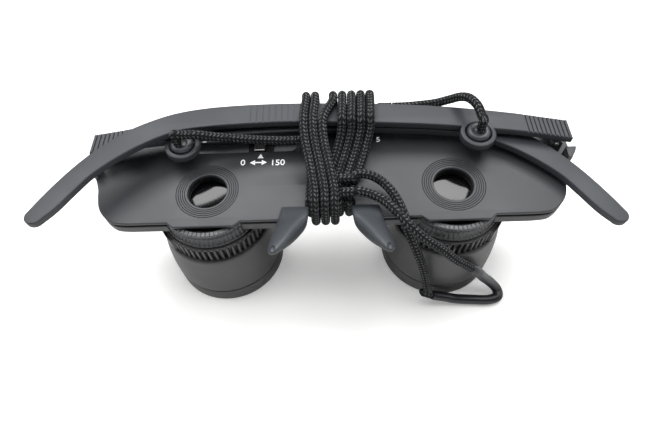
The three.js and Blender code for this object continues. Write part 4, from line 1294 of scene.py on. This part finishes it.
def cord_bead(name):
    # The cord's end, domed, with a shallow dimple where the cord goes in
    low, high = STRIP_LOW - 0.6, STRIP_HIGH + 0.85
    dome = 0.9
    bead = revolved(name, [
        (0, low), (2.3, low), (2.75, low + 0.2), (3, low + 0.7),
        *arc(3 - dome, high - dome, dome, 0, 90, 8),
        (1.7, high - 0.03), (1.35, high - 0.22), (1.1, high - 0.5), (0, high - 0.5)], 96)
    return move(bead, *EYELET)


def hinge_side(hand, side):
    body_of_temple = f"temple_{hand}"
    for piece, material, body, slot, node in (
            (hinge_lug("lug"), SHELL, "root", "shell", "hinge_lug"),
            (hinge_pin("pin"), STEEL, "root", "metal", "hinge_pin"),
            (temple("temple"), TEMPLE_PLASTIC, body_of_temple, "temple", "temple"),
            (cord_bead("bead"), BEAD, body_of_temple, "rubber", "cord_bead")):
        if side < 0:
            mirror_x(piece)
        if body == body_of_temple:
            turn(piece, FOLD_TILT, "Y")
            move(piece, side * HINGE_X, 0, HINGE_Z)
        piece.name = f"{hand}_{piece.name.split('.')[0]}"
        finish(clean(piece), material, body, slot, f"{node}_{hand}", angle=30)


for hand, side in SIDES:
    hinge_side(hand, side)


# Nose pads: a horn lofted through ovals, with a small hollow at its tip

# Each oval's reach, inner and outer side, low and high, in shares of the sizes below
PAD = [
    (0.275, -0.1, 0.0, 0.0, 0.08), (0.34, -0.1, 0.04, 0.0, 0.22),
    (0.437, -0.08, 0.14, 0.0, 0.36), (0.53, 0.0, 0.3, -0.42, 0.5),
    (0.66, 0.23, 0.5, -0.32, 0.68), (0.79, 0.47, 0.62, 0.05, 0.84),
    (0.89, 0.7, 0.66, 0.4, 0.95), (0.945, 0.84, 0.62, 0.62, 0.99),
    (0.972, 0.93, 0.54, 0.74, 0.98), (0.984, 1.0, 0.42, 0.83, 0.94),
]
PAD_REACH = 22
PAD_INNER = (6.1, 13.3)
PAD_OUTER = (12.4, 15.9)
PAD_SEAT = PLATE_TOP + 0.2
PAD_TOP = 39.4
PAD_ON_PLATE = 0.45
PAD_SIDES = 32
PAD_FULL = 0.85
HOLLOW_SIZE = (0.75, 1.1, 0.6)
HOLLOW_PLACE = (13.45, -20.4, 39.3)


def between(ends, share):
    return ends[0] + (ends[1] - ends[0]) * share


def pad_oval(reach, inner, outer, low, high):
    # An oval a little fuller than an ellipse, kept on the plate where it lies over it
    x0, x1 = between(PAD_INNER, inner), between(PAD_OUTER, outer)
    z0, z1 = [between((PAD_SEAT, PAD_TOP), share) for share in (low, high)]
    if reach < PAD_ON_PLATE:
        z0 = max(z0, PAD_SEAT)
    points = []
    for i in range(PAD_SIDES):
        angle = 2 * math.pi * i / PAD_SIDES
        ways = math.cos(angle), math.sin(angle)
        c, s = [math.copysign(abs(way) ** PAD_FULL, way) for way in ways]
        x = (x0 + x1) / 2 + c * (x1 - x0) / 2
        z = (z0 + z1) / 2 + s * (z1 - z0) / 2
        points.append((x, -PAD_REACH * reach, z))
    return points


def nose_pad(name):
    bpy.ops.mesh.primitive_circle_add()
    pad = named(name)
    mesh = pad.data
    mesh.clear_geometry()
    rows = [pad_oval(*row) for row in smooth_line(PAD, 4)]
    faces = []
    for a in range(0, (len(rows) - 1) * PAD_SIDES, PAD_SIDES):
        b = a + PAD_SIDES
        for i in range(PAD_SIDES):
            j = (i + 1) % PAD_SIDES
            faces.append((a + i, a + j, b + j, b + i))
    last = (len(rows) - 1) * PAD_SIDES
    faces.append(tuple(range(PAD_SIDES)))
    faces.append(tuple(last + i for i in reversed(range(PAD_SIDES))))
    mesh.from_pydata([point for row in rows for point in row], [], faces)
    clean(pad)
    bpy.ops.mesh.primitive_uv_sphere_add(segments=24, ring_count=16, radius=1)
    hollow = named("hollow")
    hollow.data.transform(Matrix.Diagonal((*HOLLOW_SIZE, 1)))
    return carve(pad, move(turn(hollow, 14, "X"), *HOLLOW_PLACE))


for hand, side in SIDES:
    pad = nose_pad("nose_pad")
    if side < 0:
        mirror_x(pad)
    pad.name = f"{hand}_pad"
    finish(pad, PAD_RUBBER, "root", "rubber", f"nose_pad_{hand}", angle=50)


# Finishes of the solids that stay

def refinish(node, material):
    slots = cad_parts[node].data.materials
    slots.clear()
    slots.append(material)


# The slider's tray takes the pale grey of its painted reflection
refinish("slider_tray", TRAY_PAINTED_REFLECTION)
for row in ("outer", "front", "inner"):
    for hand, _ in SIDES:
        refinish(f"cover_screw_{row}_{hand}", STEEL)
